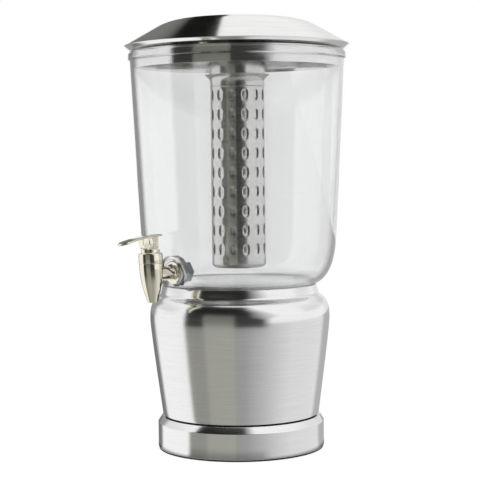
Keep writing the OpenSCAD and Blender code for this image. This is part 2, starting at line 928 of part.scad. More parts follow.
// Strips of one row, pressed into the tube between two slits
module louvre_strips(z) {
    strip_arc = 360 * (louvre_w - 2 * louvre_slit) / (2 * PI * tube_r);
    end_r = tube_r - (tube_wall - strip_t) / 2;
    low_r = end_r - louvre_press;
    half = louvre_h / 2;
    flat = louvre_h / 5;
    for (i = [0:louvre_cols - 1])
        rotate([0, 0, louvre_turn + i * 360 / louvre_cols - strip_arc / 2])
            translate([0, 0, z])
                rotate_extrude(angle = strip_arc)
                    polygon([
                        [end_r, -half], [low_r, -flat], [low_r, flat], [end_r, half],
                        [end_r - strip_t, half], [low_r - strip_t, flat],
                        [low_r - strip_t, -flat], [end_r - strip_t, -half]
                    ]);
}

module infuser_tube() {
    rows = [for (i = [0:louvre_rows - 1]) tube_z - louvre_top - i * louvre_pitch];
    corner_r = tube_r - tube_corner;
    corner_z = tube_low_z + tube_corner;
    corner = arc(corner_r, corner_z, tube_corner, -90, 0, corner_steps);
    outer = concat(corner, [[tube_r, tube_z]]);
    inner = concat(
        arc(corner_r, corner_z, tube_corner - tube_wall, -90, 0, corner_steps),
        [[bore_r, tube_z]]
    );
    color([0.7, 0.7, 0.71])
        union() {
            difference() {
                rotate_extrude()
                    polygon(concat(
                        [[0, tube_low_z]],
                        outer,
                        reversed(inner),
                        [[0, tube_low_z + tube_wall]]
                    ));
                for (z = rows)
                    louvre_prisms(z, louvre_w, louvre_h);
            }
            for (z = rows)
                louvre_strips(z);
        }
}

base_pad();
base_plate();
base_ring();
stand_body();
seat_ring();
seat_pad();
vessel();
outer_washer();
inner_washer();
shank_nut();
tap_body();
tap_bonnet();
stem_seal();
valve_stem();
valve_plug();
return_spring();
tap_lever();
lever_pin();
lid_dome();
lid_plate();
lid_skirt();
infuser_collar();
infuser_mouth();
infuser_tube();
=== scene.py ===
import math

import bmesh
import bpy
from mathutils import Matrix, Quaternion, Vector


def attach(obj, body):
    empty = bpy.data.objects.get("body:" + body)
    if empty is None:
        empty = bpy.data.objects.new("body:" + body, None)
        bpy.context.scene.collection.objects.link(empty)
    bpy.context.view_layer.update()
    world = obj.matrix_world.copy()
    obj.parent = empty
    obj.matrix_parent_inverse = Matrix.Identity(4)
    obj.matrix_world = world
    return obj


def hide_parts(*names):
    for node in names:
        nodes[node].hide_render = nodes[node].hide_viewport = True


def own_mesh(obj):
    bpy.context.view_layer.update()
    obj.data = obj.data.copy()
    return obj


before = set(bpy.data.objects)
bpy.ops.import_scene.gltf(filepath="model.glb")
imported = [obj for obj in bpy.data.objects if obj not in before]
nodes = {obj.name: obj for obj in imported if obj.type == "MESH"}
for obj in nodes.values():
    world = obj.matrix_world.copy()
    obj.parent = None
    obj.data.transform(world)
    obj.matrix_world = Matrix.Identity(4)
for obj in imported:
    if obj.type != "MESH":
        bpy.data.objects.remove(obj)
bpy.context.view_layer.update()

# Clear drink dispenser on a steel stand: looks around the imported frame.
# Sizes are in millimetres, as in the part's source, and become metres in the meshes.
scene = bpy.context.scene
mm = 0.001
sheet = 1.2  # steel of the stand
print("frame loaded,", len(nodes), "nodes")


# outlines

def bezier(a, b, c, d, steps=28):
    points = []
    for i in range(steps + 1):
        t = i / steps
        u = 1 - t
        points.append(tuple(
            u ** 3 * a[k] + 3 * u * u * t * b[k] + 3 * u * t * t * c[k] + t ** 3 * d[k]
            for k in (0, 1)
        ))
    return points


def arc(x, y, r, start, end, steps):
    turns = [math.radians(start + (end - start) * i / steps) for i in range(steps + 1)]
    return [(x + r * math.cos(a), y + r * math.sin(a)) for a in turns]


def beside(points, t):  # the same line, moved to the left of its run
    moved = []
    last = len(points) - 1
    for i, p in enumerate(points):
        before, after = points[max(i - 1, 0)], points[min(i + 1, last)]
        dx, dy = after[0] - before[0], after[1] - before[1]
        m = math.hypot(dx, dy)
        moved.append((p[0] - t * dy / m, p[1] + t * dx / m))
    return moved


def soften(points, radius, steps=4, sharpest=25):  # rounds the corners of a closed outline
    out = []
    count = len(points)
    for i, p in enumerate(points):
        p = Vector(p)
        before, after = Vector(points[i - 1]) - p, Vector(points[(i + 1) % count]) - p
        turn = math.degrees(math.pi - before.angle(after, math.pi))
        if turn < sharpest or p.x < 1e-6:
            out.append(tuple(p))
            continue
        reach = radius * math.tan(math.radians(min(turn, 150)) / 2)
        a = p + before.normalized() * min(reach, 0.45 * before.length)
        b = p + after.normalized() * min(reach, 0.45 * after.length)
        for k in range(steps + 1):
            t = k / steps
            out.append(tuple((1 - t) ** 2 * a + 2 * t * (1 - t) * p + t * t * b))
    return out


# meshes

def putIn(name, data):  # object at the origin, in the scene
    piece = bpy.data.objects.new(name, data)
    scene.collection.objects.link(piece)
    return piece


def spun(degrees, axis):
    return Matrix.Rotation(math.radians(degrees), 4, axis)


def raised(height):
    return Matrix.Translation((0, 0, height * mm))


def settle(name, verts, faces, crease=30):  # one clean object at the origin
    mesh = bpy.data.meshes.new(name)
    mesh.from_pydata(verts, [], faces)
    bm = bmesh.new()
    bm.from_mesh(mesh)
    bmesh.ops.remove_doubles(bm, verts=bm.verts, dist=1e-6)
    bmesh.ops.recalc_face_normals(bm, faces=bm.faces)
    bm.to_mesh(mesh)
    bm.free()
    return smooth(putIn(name, mesh), crease)


def smooth(piece, crease=30):
    piece.data.shade_smooth()
    piece.data.set_sharp_from_angle(angle=math.radians(crease))
    return piece


def polar(r, a, z):  # place at a radius, an angle and a height
    return (r * mm * math.cos(a), r * mm * math.sin(a), z * mm)


def turned(name, outline, segments=192, crease=40):  # closed outline of (radius, height), turned round Z
    verts, faces, rows = [], [], []
    for r, z in outline:
        start = len(verts)
        if r < 1e-6:
            verts.append((0, 0, z * mm))
            rows.append([start] * segments)
            continue
        for j in range(segments):
            verts.append(polar(r, 2 * math.pi * j / segments, z))
        rows.append(list(range(start, start + segments)))
    for i, row in enumerate(rows):
        above = rows[(i + 1) % len(rows)]
        for j in range(segments):
            k = (j + 1) % segments
            face = list(dict.fromkeys((row[j], row[k], above[k], above[j])))
            if len(face) > 2:
                faces.append(face)
    return settle(name, verts, faces, crease)


def bakeMesh(piece):  # modifiers become the plain mesh
    seen = piece.evaluated_get(bpy.context.evaluated_depsgraph_get())
    made = bpy.data.meshes.new_from_object(seen)
    piece.modifiers.clear()
    old, piece.data = piece.data, made
    made.name = piece.name
    bpy.data.meshes.remove(old)
    return piece


def carve(piece, tool, operation="DIFFERENCE"):
    cut = piece.modifiers.new("cut", "BOOLEAN")
    cut.operation = operation
    cut.solver = "EXACT"
    cut.object = tool
    bakeMesh(piece)
    bpy.data.objects.remove(tool)
    return piece


def shift(piece, matrix):
    piece.data.transform(matrix)
    return piece


def along(r0, r1, y0, y1, soft=0.0, segments=96, name="rod"):  # ring or rod along Y
    outline = [(r0, y0), (r1, y0), (r1, y1), (r0, y1)]
    piece = turned(name, soften(outline, soft) if soft else outline, segments, 30)
    return shift(piece, spun(-90, "X"))


# shader groups

def newGroup(name, inputs, outputs):
    tree = bpy.data.node_groups.new(name, "ShaderNodeTree")
    for label, kind, value in inputs:
        socket = tree.interface.new_socket(label, in_out="INPUT", socket_type=kind)
        if value is not None:
            socket.default_value = value
    for label, kind in outputs:
        tree.interface.new_socket(label, in_out="OUTPUT", socket_type=kind)
    return tree, tree.nodes.new("NodeGroupInput"), tree.nodes.new("NodeGroupOutput")


def setInputs(node, values):
    for label, value in values.items():
        node.inputs[label].default_value = value


def mathNode(tree, operation, a, b=None):
    node = tree.nodes.new("ShaderNodeMath")
    node.operation = operation
    for k, value in enumerate((a, b)):
        if isinstance(value, (int, float)):
            node.inputs[k].default_value = value
        elif value is not None:
            tree.links.new(value, node.inputs[k])
    return node.outputs[0]


def noiseNode(tree, vector, scale, detail=3.0):
    node = tree.nodes.new("ShaderNodeTexNoise")
    setInputs(node, {"Detail": detail, "Roughness": 0.55})
    tree.links.new(vector, node.inputs["Vector"])
    if isinstance(scale, (int, float)):
        node.inputs["Scale"].default_value = scale
    else:
        tree.links.new(scale, node.inputs["Scale"])
    return node.outputs["Fac"]


def makeBrushLines():  # lines that run round the Z axis, as a turning brush leaves them
    tree, into, out = newGroup(
        "brushLines",
        [("Vector", "NodeSocketVector", None), ("Lines", "NodeSocketFloat", 700.0),
         ("Length", "NodeSocketFloat", 3.0), ("Radial", "NodeSocketFloat", 0.0)],
        [("Streak", "NodeSocketFloat"), ("Smudge", "NodeSocketFloat")],
    )
    got, join = into.outputs, tree.links.new

    def sums(operation, a, b=None):
        return mathNode(tree, operation, a, b)

    parts = tree.nodes.new("ShaderNodeSeparateXYZ")
    join(got["Vector"], parts.inputs[0])
    x, y, z = parts.outputs
    square = sums("ADD", sums("MULTIPLY", x, x), sums("MULTIPLY", y, y))
    radius = sums("MAXIMUM", sums("SQRT", square), 0.001)
    level = sums("ADD", z, sums("MULTIPLY", radius, got["Radial"]))
    fine = sums("MULTIPLY", level, got["Lines"])
    values = []
    for share in (1.0, 0.31):
        place = tree.nodes.new("ShaderNodeCombineXYZ")
        for k, side in enumerate((x, y)):
            join(sums("MULTIPLY", sums("DIVIDE", side, radius), got["Length"]), place.inputs[k])
        join(sums("MULTIPLY", fine, share), place.inputs[2])
        values.append(noiseNode(tree, place.outputs[0], 1.0))
    join(sums("MULTIPLY", sums("ADD", *values), 0.5), out.inputs["Streak"])
    join(noiseNode(tree, got["Vector"], 14.0, 4.0), out.inputs["Smudge"])
    return tree


def makeFineGrain():  # moulded or cast skin
    tree, into, out = newGroup(
        "fineGrain",
        [("Vector", "NodeSocketVector", None), ("Scale", "NodeSocketFloat", 900.0),
         ("Patch", "NodeSocketFloat", 40.0)],
        [("Grain", "NodeSocketFloat"), ("Patch", "NodeSocketFloat")],
    )
    for size, detail, label in (("Scale", 2.0, "Grain"), ("Patch", 4.0, "Patch")):
        noise = noiseNode(tree, into.outputs["Vector"], into.outputs[size], detail)
        tree.links.new(noise, out.inputs[label])
    return tree


brushLines = makeBrushLines()
fineGrain = makeFineGrain()


# finishes

def newPaint(name):
    paint = bpy.data.materials.new(name)
    paint.use_nodes = True
    return paint, paint.node_tree


def startFinish(name, group, values):
    finish, tree = newPaint(name)
    shader = tree.nodes["Principled BSDF"]
    place = tree.nodes.new("ShaderNodeTexCoord")
    effect = tree.nodes.new("ShaderNodeGroup")
    effect.node_tree = group
    tree.links.new(place.outputs["Object"], effect.inputs["Vector"])
    setInputs(effect, values)
    return finish, tree, shader, effect


def spread(tree, fac, low, high):  # a value between low and high
    node = tree.nodes.new("ShaderNodeMapRange")
    setInputs(node, {"From Min": 0.3, "From Max": 0.7, "To Min": low, "To Max": high})
    tree.links.new(fac, node.inputs["Value"])
    return node.outputs[0]


def shades(tree, fac, dark, light):
    node = tree.nodes.new("ShaderNodeMix")
    node.data_type = "RGBA"
    node.inputs[6].default_value = (*dark, 1)
    node.inputs[7].default_value = (*light, 1)
    tree.links.new(spread(tree, fac, 0.0, 1.0), node.inputs[0])
    return node.outputs[2]


def relief(tree, shader, height, strength):
    bump = tree.nodes.new("ShaderNodeBump")
    setInputs(bump, {"Strength": strength, "Distance": 0.0002})
    tree.links.new(height, bump.inputs["Height"])
    tree.links.new(bump.outputs[0], shader.inputs["Normal"])


def makeSteel(name, dark, light, rough, lines, length, radial, depth):
    finish, tree, shader, brush = startFinish(
        name, brushLines, {"Lines": lines, "Length": length, "Radial": radial})
    shader.inputs["Metallic"].default_value = 1.0
    tree.links.new(shades(tree, brush.outputs["Streak"], dark, light), shader.inputs["Base Color"])
    worn = mathNode(tree, "MULTIPLY", spread(tree, brush.outputs["Smudge"], -1.0, 1.0), rough * 0.18)
    fresh = spread(tree, brush.outputs["Streak"], rough * 0.8, rough * 1.2)
    tree.links.new(mathNode(tree, "ADD", fresh, worn), shader.inputs["Roughness"])
    relief(tree, shader, brush.outputs["Streak"], depth)
    return finish


def makeSolid(name, dark, light, rough, scale, patch, depth):
    finish, tree, shader, grain = startFinish(name, fineGrain, {"Scale": scale, "Patch": patch})
    setInputs(shader, plainValues.get(name, {}))
    tree.links.new(shades(tree, grain.outputs["Patch"], dark, light), shader.inputs["Base Color"])
    matt = spread(tree, grain.outputs["Grain"], rough * 0.85, rough * 1.15)
    tree.links.new(matt, shader.inputs["Roughness"])
    relief(tree, shader, grain.outputs["Grain"], depth)
    return finish


def grey(value):
    return (value, value, value)


steels = {  # dark and light streak, roughness, lines in a metre, their length, share across a flat, depth
    "standSteel": (grey(0.80), grey(0.90), 0.15, 1800, 2.2, 0.0, 0.05),
    "ringSteel": (grey(0.82), grey(0.90), 0.12, 1800, 2.2, 0.4, 0.03),
    "lidSteel": ((0.82, 0.82, 0.805), (0.91, 0.91, 0.90), 0.11, 1500, 2.5, 1.0, 0.04),
    "infuserSteel": ((0.78, 0.78, 0.76), (0.88, 0.88, 0.86), 0.17, 1800, 2.0, 0.0, 0.03),
    "innerSteel": ((0.74, 0.74, 0.74), (0.84, 0.84, 0.83), 0.30, 700, 3.0, 1.0, 0.06),
}
solids = {  # dark and light patch, roughness, grain, patches, depth
    # painted shade for the shadowed gap under the stand's foot: near-black and matt, not the steel's own
    # colour
    "paintedGapShade": (grey(0.012), grey(0.02), 0.7, 900, 60, 0.1),
    "nickel": ((0.83, 0.79, 0.66), (0.88, 0.84, 0.72), 0.06, 500, 90, 0.01),
    "padRubber": (grey(0.010), grey(0.022), 0.6, 1400, 60, 0.4),
    "silicone": ((0.86, 0.88, 0.93), (0.92, 0.94, 0.98), 0.25, 800, 120, 0.05),
    "nutPlastic": ((0.10, 0.125, 0.165), (0.15, 0.18, 0.23), 0.34, 1200, 150, 0.12),
    "plugSilicone": ((0.74, 0.74, 0.71), (0.82, 0.82, 0.80), 0.45, 900, 150, 0.1),
    "acrylic": ((0.91, 0.915, 0.917), (0.928, 0.933, 0.935), 0.012, 9, 6, 0.012),
}
plainValues = {  # the same all over
    "nickel": {"Metallic": 1.0},
    "silicone": {"Transmission Weight": 0.1, "IOR": 1.41},
    "acrylic": {"Transmission Weight": 1.0, "IOR": 1.5, "Coat Weight": 1.0, "Coat Roughness": 0.01},
}
finishes = {name: makeSteel(name, *values) for name, values in steels.items()}
finishes.update((name, makeSolid(name, *values)) for name, values in solids.items())


def dress(piece, finish, body=None, slot=None, *stoodFor):
    piece.data.materials.clear()
    piece.data.materials.append(finishes[finish])
    if body:
        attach(piece, body)
        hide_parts(*stoodFor)
    return piece


# camera, at the photograph's angle
shot = {"azimuth": 45.0, "reach": 1.61, "height": 0.3245, "pitch": 3.07, "roll": -0.68,
        "lens": 105.0, "film": 36.0, "aside": 0.00115}
bearing = math.radians(shot["azimuth"])
toCam = Vector((math.sin(bearing), -math.cos(bearing), 0))
toRight = Vector((-toCam.y, toCam.x, 0))
cameraData = bpy.data.cameras.new("camera")
cameraData.lens = shot["lens"]
cameraData.sensor_width = shot["film"]
camera = putIn("camera", cameraData)
camera.location = toCam * shot["reach"] + Vector((0, 0, shot["height"]))
fall = shot["reach"] * math.tan(math.radians(shot["pitch"]))
aim = toRight * shot["aside"] + Vector((0, 0, shot["height"] - fall))
camera.rotation_mode = "QUATERNION"
camera.rotation_quaternion = (aim - camera.location).to_track_quat("-Z", "Y") @ Quaternion(
    (0, 0, 1), math.radians(shot["roll"]))
scene.camera = camera
print("camera set")


# stand and base
base = {"ringR": 95.7, "bottom": 2.0, "top": 37.6, "chamferH": 7.1, "chamferW": 4.7, "hemR": 87.7,
        "edge": 0.7}
stand = {"footR": 90.0, "bulgeR": 103.3, "neckR": 90.4, "rimR": 88.6, "skirtR": 87.5, "skirtZ": 3.2,
         "footZ": 39.4, "bulgeZ": 150.0, "neckZ": 179.4, "rimZ": 187.6, "footLean": 7.5, "edge": 0.5,
         "footPull": 0.37, "bulgePull": 0.1, "shoulderPull": 0.88, "neckPull": 0.24}


def makeBaseRing():
    b = base
    wallTop, topR = b["top"] - b["chamferH"], b["ringR"] - b["chamferW"]
    slope = sheet / math.cos(math.atan(b["chamferW"] / b["chamferH"]))
    outline = soften([
        (b["ringR"] - sheet, b["bottom"]), (b["ringR"], b["bottom"]), (b["ringR"], wallTop),
        (topR, b["top"]), (b["hemR"], b["top"]), (b["hemR"], b["top"] - sheet),
        (topR - slope, b["top"] - sheet), (b["ringR"] - sheet, wallTop - sheet),
    ], b["edge"])
    return turned("baseRing", outline)


def makeStand():
    s = stand
    rise, shoulder = s["bulgeZ"] - s["footZ"], s["neckZ"] - s["bulgeZ"]
    lean = math.radians(s["footLean"])
    neckLean = math.atan((s["neckR"] - s["rimR"]) / (s["rimZ"] - s["neckZ"]))
    footPull, neckPull = s["footPull"] * rise, s["neckPull"] * shoulder
    lower = bezier(
        (s["footR"], s["footZ"]),
        (s["footR"] + footPull * math.sin(lean), s["footZ"] + footPull * math.cos(lean)),
        (s["bulgeR"], s["bulgeZ"] - s["bulgePull"] * rise), (s["bulgeR"], s["bulgeZ"]))
    upper = bezier(
        (s["bulgeR"], s["bulgeZ"]), (s["bulgeR"], s["bulgeZ"] + s["shoulderPull"] * shoulder),
        (s["neckR"] + neckPull * math.sin(neckLean), s["neckZ"] - neckPull * math.cos(neckLean)),
        (s["neckR"], s["neckZ"]))
    outer = lower + upper[1:] + [(s["rimR"], s["rimZ"])]
    inner = beside(outer, sheet)[1:-1]
    outline = outer + [(s["rimR"] - sheet, s["rimZ"])] + inner[::-1] + [
        (s["footR"] - sheet, s["footZ"] + sheet), (s["skirtR"], s["footZ"] + sheet),
        (s["skirtR"] - sheet, s["footZ"] + sheet), (s["skirtR"] - sheet, s["skirtZ"]),
        (s["skirtR"], s["skirtZ"]), (s["skirtR"], s["footZ"])]
    return turned("standBody", soften(outline, s["edge"], 3, 40))


dress(makeBaseRing(), "ringSteel", "stand", "stand_steel", "base_ring")
standBody = dress(makeStand(), "standSteel", "stand", "stand_steel", "stand_body")
# second finish: painted shade for the gap above the base ring
standBody.data.materials.append(finishes["paintedGapShade"])
skirtR, skirtTop = stand["skirtR"] * mm + 1e-4, stand["footZ"] * mm
for face in standBody.data.polygons:  # painted shade: the skirt faces behind the gap above the base ring get a near-black finish that stands in for the shadow in the gap
    if math.hypot(face.center.x, face.center.y) < skirtR and face.center.z < skirtTop:
        face.material_index = 1
for name, finish in (("base_pad", "padRubber"), ("base_plate", "innerSteel"),
                     ("seat_ring", "innerSteel"), ("seat_pad", "silicone")):
    dress(nodes[name], finish)
print("stand made")


# vessel
vessel = {"low": 185.6, "flatR": 73.4, "roundH": 64.2, "wallR": 112.4, "mouthR": 123.5, "height": 267.9,
          "wall": 4.0, "beadH": 9.0, "beadW": 1.5, "beadDrop": 1.3, "lowPull": 0.865, "wallPull": 0.45,
          "edge": 0.6}
tap = {"reach": 34.7, "flatR": 100.0, "height": 207.1, "turn": 3.0, "bossR": 15.8, "bossRing": 3.0,
       "holeR": 8.0, "pocketR": 13.3}
atTap = Matrix.Translation((0, -tap["flatR"] * mm, tap["height"] * mm)) @ spun(-tap["turn"], "Y")
atTapBody = atTap @ Matrix.Translation((0, -tap["reach"] * mm, 0))
vesselTop = vessel["low"] + vessel["height"]
wallZ = vessel["low"] + vessel["roundH"]
wallLean = math.atan((vessel["mouthR"] - vessel["wallR"]) / (vessel["height"] - vessel["roundH"]))


def wallAt(z):
    return vessel["wallR"] + (z - wallZ) * math.tan(wallLean)


def vesselLine(inset):
    low, high = (vessel["flatR"], vessel["low"]), (vessel["wallR"], wallZ)
    pull = vessel["wallPull"] * vessel["roundH"]
    line = bezier(
        low, (low[0] + vessel["lowPull"] * (high[0] - low[0]), low[1]),
        (high[0] - pull * math.sin(wallLean), high[1] - pull * math.cos(wallLean)), high)
    if inset:
        line = [(low[0], low[1] + inset)] + beside(line, inset)[1:]
    return line


def vesselCore(inset, top, name):
    topR = wallAt(top) - inset / math.cos(wallLean)
    climb = vesselLine(inset)
    r, z = climb[-1]
    reach = [(r + (topR - r) * k / 6, z + (top - z) * k / 6) for k in range(1, 7)]
    return turned(name, [(0, vessel["low"] + inset)] + climb + reach + [(0, top)])


def makeVessel():
    v = vessel
    beadTop = vesselTop - v["beadDrop"]
    beadLow = beadTop - v["beadH"]
    beadR = wallAt(beadTop) + v["beadW"]
    climb = vesselLine(0)
    inner = vesselLine(v["wall"])
    topIn = wallAt(vesselTop) - v["wall"] / math.cos(wallLean)
    outline = [(0, v["low"])] + climb + [
        (wallAt(beadLow), beadLow), (beadR, beadLow + v["beadW"]), (beadR, beadTop - v["beadW"]),
        (wallAt(beadTop), beadTop), (wallAt(vesselTop), vesselTop), (topIn, vesselTop),
    ] + inner[::-1] + [(0, v["low"] + v["wall"])]
    shell = turned("vesselShell", soften(outline, v["edge"], 3, 20))
    thick = shift(along(0, tap["bossR"] + tap["bossRing"], -tap["reach"], v["wall"]), atTap)
    carve(thick, vesselCore(0, vesselTop, "core"), "INTERSECT")
    boss = shift(along(0, tap["bossR"], 0, 2 * tap["bossR"]), atTap)
    carve(boss, vesselCore(v["wall"], vesselTop, "core"))
    carve(shell, thick, "UNION")
    carve(shell, boss, "UNION")
    for r, y0, y1 in ((tap["bossR"], -tap["reach"], 0), (tap["holeR"], -1, 2 * tap["bossR"]),
                      (tap["pocketR"], v["wall"], 2 * tap["bossR"])):
        carve(shell, shift(along(0, r, y0, y1), atTap))
    return smooth(shell)


shell = dress(makeVessel(), "acrylic", "container", "clear_acrylic", "vessel")
shell.visible_shadow = False  # clear wall lets the lamps through
print("vessel made")


# lid
lid = {"r": 129.2, "tip": 460.1, "flatR": 60.0, "arcR": 66.0, "slope": 29.5, "bevelH": 6.6, "bevelW": 7.7,
       "t": 1.0, "plugLow": 434.5, "plugR": 117.859}


def makeLid():
    w = lid
    slope = math.radians(w["slope"])
    endR = w["flatR"] + w["arcR"] * math.sin(slope)
    top = w["tip"] + w["arcR"] * (1 - math.cos(slope)) + (w["r"] - endR) * math.tan(slope)
    side = arc(w["flatR"], top - w["arcR"], w["arcR"], 90, 90 - w["slope"], 32)
    run = w["r"] - endR
    side += [(endR + run * k / 6, w["tip"] + run * (1 - k / 6) * math.tan(slope)) for k in range(1, 7)]
    under = beside(side, -w["t"])
    cut = [p for p in under if p[1] > w["tip"]] + [(w["r"] - w["t"] / math.sin(slope), w["tip"])]
    outline = [(0, top)] + side + cut[::-1] + [(0, top - w["t"])]
    dome = turned("lidDome", outline)
    edge = w["r"] - w["bevelW"]
    slant = w["t"] / math.sin(math.atan(w["bevelH"] / w["bevelW"]))
    plate = turned("lidPlate", soften([
        (0, vesselTop), (edge, vesselTop), (w["r"], w["tip"]), (w["r"] - slant, w["tip"]),
        (edge - slant + w["t"] * w["bevelW"] / w["bevelH"], vesselTop + w["t"]), (0, vesselTop + w["t"]),
    ], 0.5))
    skirt = turned("lidSkirt", soften([
        (w["plugR"] - w["t"], w["plugLow"]), (w["plugR"], w["plugLow"]), (w["plugR"], vesselTop),
        (w["plugR"] - w["t"], vesselTop)], 0.3))
    return dome, plate, skirt


for piece, node in zip(makeLid(), ("lid_dome", "lid_plate", "lid_skirt")):
    dress(piece, "lidSteel", "lid", "lid_steel", node)
print("lid made")


# infuser
infuser = {"r": 31.0, "wall": 1.0, "top": 411.7, "mouth": 425.7, "flare": 6.2, "low": 207.2, "corner": 5.0,
           "jointH": 1.4, "jointW": 0.5, "tab": 413.7, "tabH": 2.5, "collarR": 32.0, "collarLow": 426.2,
           "spigotR": 27.5, "spigotLow": 410.7, "lugR": 29.6, "lugH": 3.0, "lugArc": 30.0, "lugs": 3,
           "lugGap": 0.4, "jointLow": 0.25, "jointHigh": 1.1}
louvre = {"rows": 9, "columns": 13, "pitch": 21.7375, "first": 402.8, "width": 6.4, "height": 12.6,
          "press": 1.6, "slit": 0.5, "turn": 26.0, "rim": 0.25}


def makeLug(r0, r1, z0, z1, index, steps=10):  # block of a bayonet ring
    verts, faces = [], []
    sweep = infuser["lugArc"]
    for i in range(steps + 1):
        a = math.radians(index * 360 / infuser["lugs"] - sweep / 2 + sweep * i / steps)
        verts += [polar(r, a, z) for r, z in ((r0, z0), (r1, z0), (r1, z1), (r0, z1))]
    for i in range(steps):
        for k in range(4):
            faces.append([4 * i + k, 4 * i + (k + 1) % 4, 4 * i + 4 + (k + 1) % 4, 4 * i + 4 + k])
    faces += [[0, 1, 2, 3], [4 * steps + k for k in (3, 2, 1, 0)]]
    return settle("lug", verts, faces)


def makeInfuserMouth():
    f = infuser
    r, top, sleeve = f["r"], f["top"], f["tab"] + f["tabH"]
    rise = f["mouth"] - sleeve
    flare = bezier((r, sleeve), (r, sleeve + 0.5 * rise),
                   (r + 0.4 * f["flare"], f["mouth"] - 0.25 * rise), (r + f["flare"], f["mouth"]), 16)
    beadR = r + f["jointW"]
    bead = [(r, top), (beadR, top + f["jointLow"]), (beadR, top + f["jointHigh"]), (r, top + f["jointH"])]
    inner = beside([(r, top), (r, f["tab"])] + flare, f["wall"])
    outline = bead + [(r, f["tab"])] + flare + inner[::-1]
    mouth = turned("infuserMouth", soften(outline, 0.35, 3, 35), 144)
    for i in range(f["lugs"]):
        carve(mouth, makeLug(f["spigotR"] + f["lugGap"], r - f["wall"] / 2, f["tab"], sleeve, i), "UNION")
    return smooth(mouth, 40)


def makeCollar():
    f = infuser
    r, low, spigotR, spigotLow = f["collarR"], f["collarLow"], f["spigotR"], f["spigotLow"]
    collar = turned("infuserCollar", soften([
        (r - sheet, vesselTop), (r - sheet, low + sheet), (spigotR - sheet, low + sheet),
        (spigotR - sheet, spigotLow), (spigotR, spigotLow), (spigotR, low),
        (r, low), (r, vesselTop)], 0.4, 3), 144)
    for i in range(f["lugs"]):
        lug = makeLug(spigotR - sheet / 2, f["lugR"], spigotLow, spigotLow + f["lugH"], i)
        carve(collar, lug, "UNION")
    return smooth(collar, 40)


def louvreCell():  # flat cell of the sheet: a hole, and the strip that is pressed in between two slits
    c = louvre
    width = 2 * math.pi * infuser["r"] / c["columns"]
    above = infuser["top"] - c["first"]
    below = c["pitch"] - above
    across, upright = 6, 9
    xs = [width * (i / across - 0.5) for i in range(across + 1)]
    ys = [-below + (above + below) * i / upright for i in range(upright + 1)]
    edge = [(x, -below) for x in xs[:-1]] + [(xs[-1], y) for y in ys[:-1]]
    edge += [(x, above) for x in xs[:0:-1]] + [(xs[0], y) for y in ys[:0:-1]]
    a, b = c["width"] / 2, c["height"] / 2
    verts, faces = [], []
    rings = ((0.0, -c["rim"]), (0.1, 0.0), (0.4, 0.0), (1.0, 0.0))
    for share, depth in rings:
        for x, y in edge:
            turn = math.atan2(y / b, x / a)
            u, v = a * math.cos(turn), b * math.sin(turn)
            verts.append([(u + (x - u) * share) * mm, (v + (y - v) * share) * mm, depth * mm])
    count = len(edge)
    for k in range(len(rings) - 1):
        for i in range(count):
            j = (i + 1) % count
            faces.append([k * count + i, (k + 1) * count + i, (k + 1) * count + j, k * count + j])
    start, stripX, stripY = len(verts), 4, 16
    for j in range(stripY + 1):
        y = b * math.sin(math.pi / 2 * (2 * j / stripY - 1) * 0.97)
        slit = c["slit"] * max(0.0, 1 - (abs(y) / (0.9 * b)) ** 4)  # closes at both ends
        half = a * math.sqrt(max(0.0, 1 - (y / b) ** 2)) - slit - 0.02
        depth = -c["press"] * (1 - (abs(y) / b) ** 4) - c["rim"]
        for i in range(stripX + 1):
            verts.append([half * (2 * i / stripX - 1) * mm, y * mm, depth * mm])
    for j in range(stripY):
        for i in range(stripX):
            p = start + j * (stripX + 1) + i
            faces.append([p, p + 1, p + stripX + 2, p + stripX + 1])
    mesh = bpy.data.meshes.new("infuserTube")
    mesh.from_pydata(verts, [], faces)
    return putIn("infuserTube", mesh), xs


def nodeTree(name, inputs):
    tree = bpy.data.node_groups.new(name, "GeometryNodeTree")
    ids = {}
    tree.interface.new_socket("Geometry", in_out="INPUT", socket_type="NodeSocketGeometry")
    for label, kind in inputs:
        ids[label] = tree.interface.new_socket(label, in_out="INPUT", socket_type=kind).identifier
    tree.interface.new_socket("Geometry", in_out="OUTPUT", socket_type="NodeSocketGeometry")
    return tree, tree.nodes.new("NodeGroupInput"), tree.nodes.new("NodeGroupOutput"), ids


def closeTree(tree, into, out, geometry):  # every tree ends in plain geometry with its finish
    plain = tree.nodes.new("GeometryNodeRealizeInstances")
    paint = tree.nodes.new("GeometryNodeSetMaterial")
    join = tree.links.new
    join(geometry, plain.inputs[0])
    join(plain.outputs[0], paint.inputs["Geometry"])
    join(into.outputs["Finish"], paint.inputs["Material"])
    join(paint.outputs[0], out.inputs[0])


def runTree(piece, tree, ids, values):
    maker = piece.modifiers.new(tree.name, "NODES")
    maker.node_group = tree
    for label, value in values.items():
        maker[ids[label]] = value
    return bakeMesh(piece)


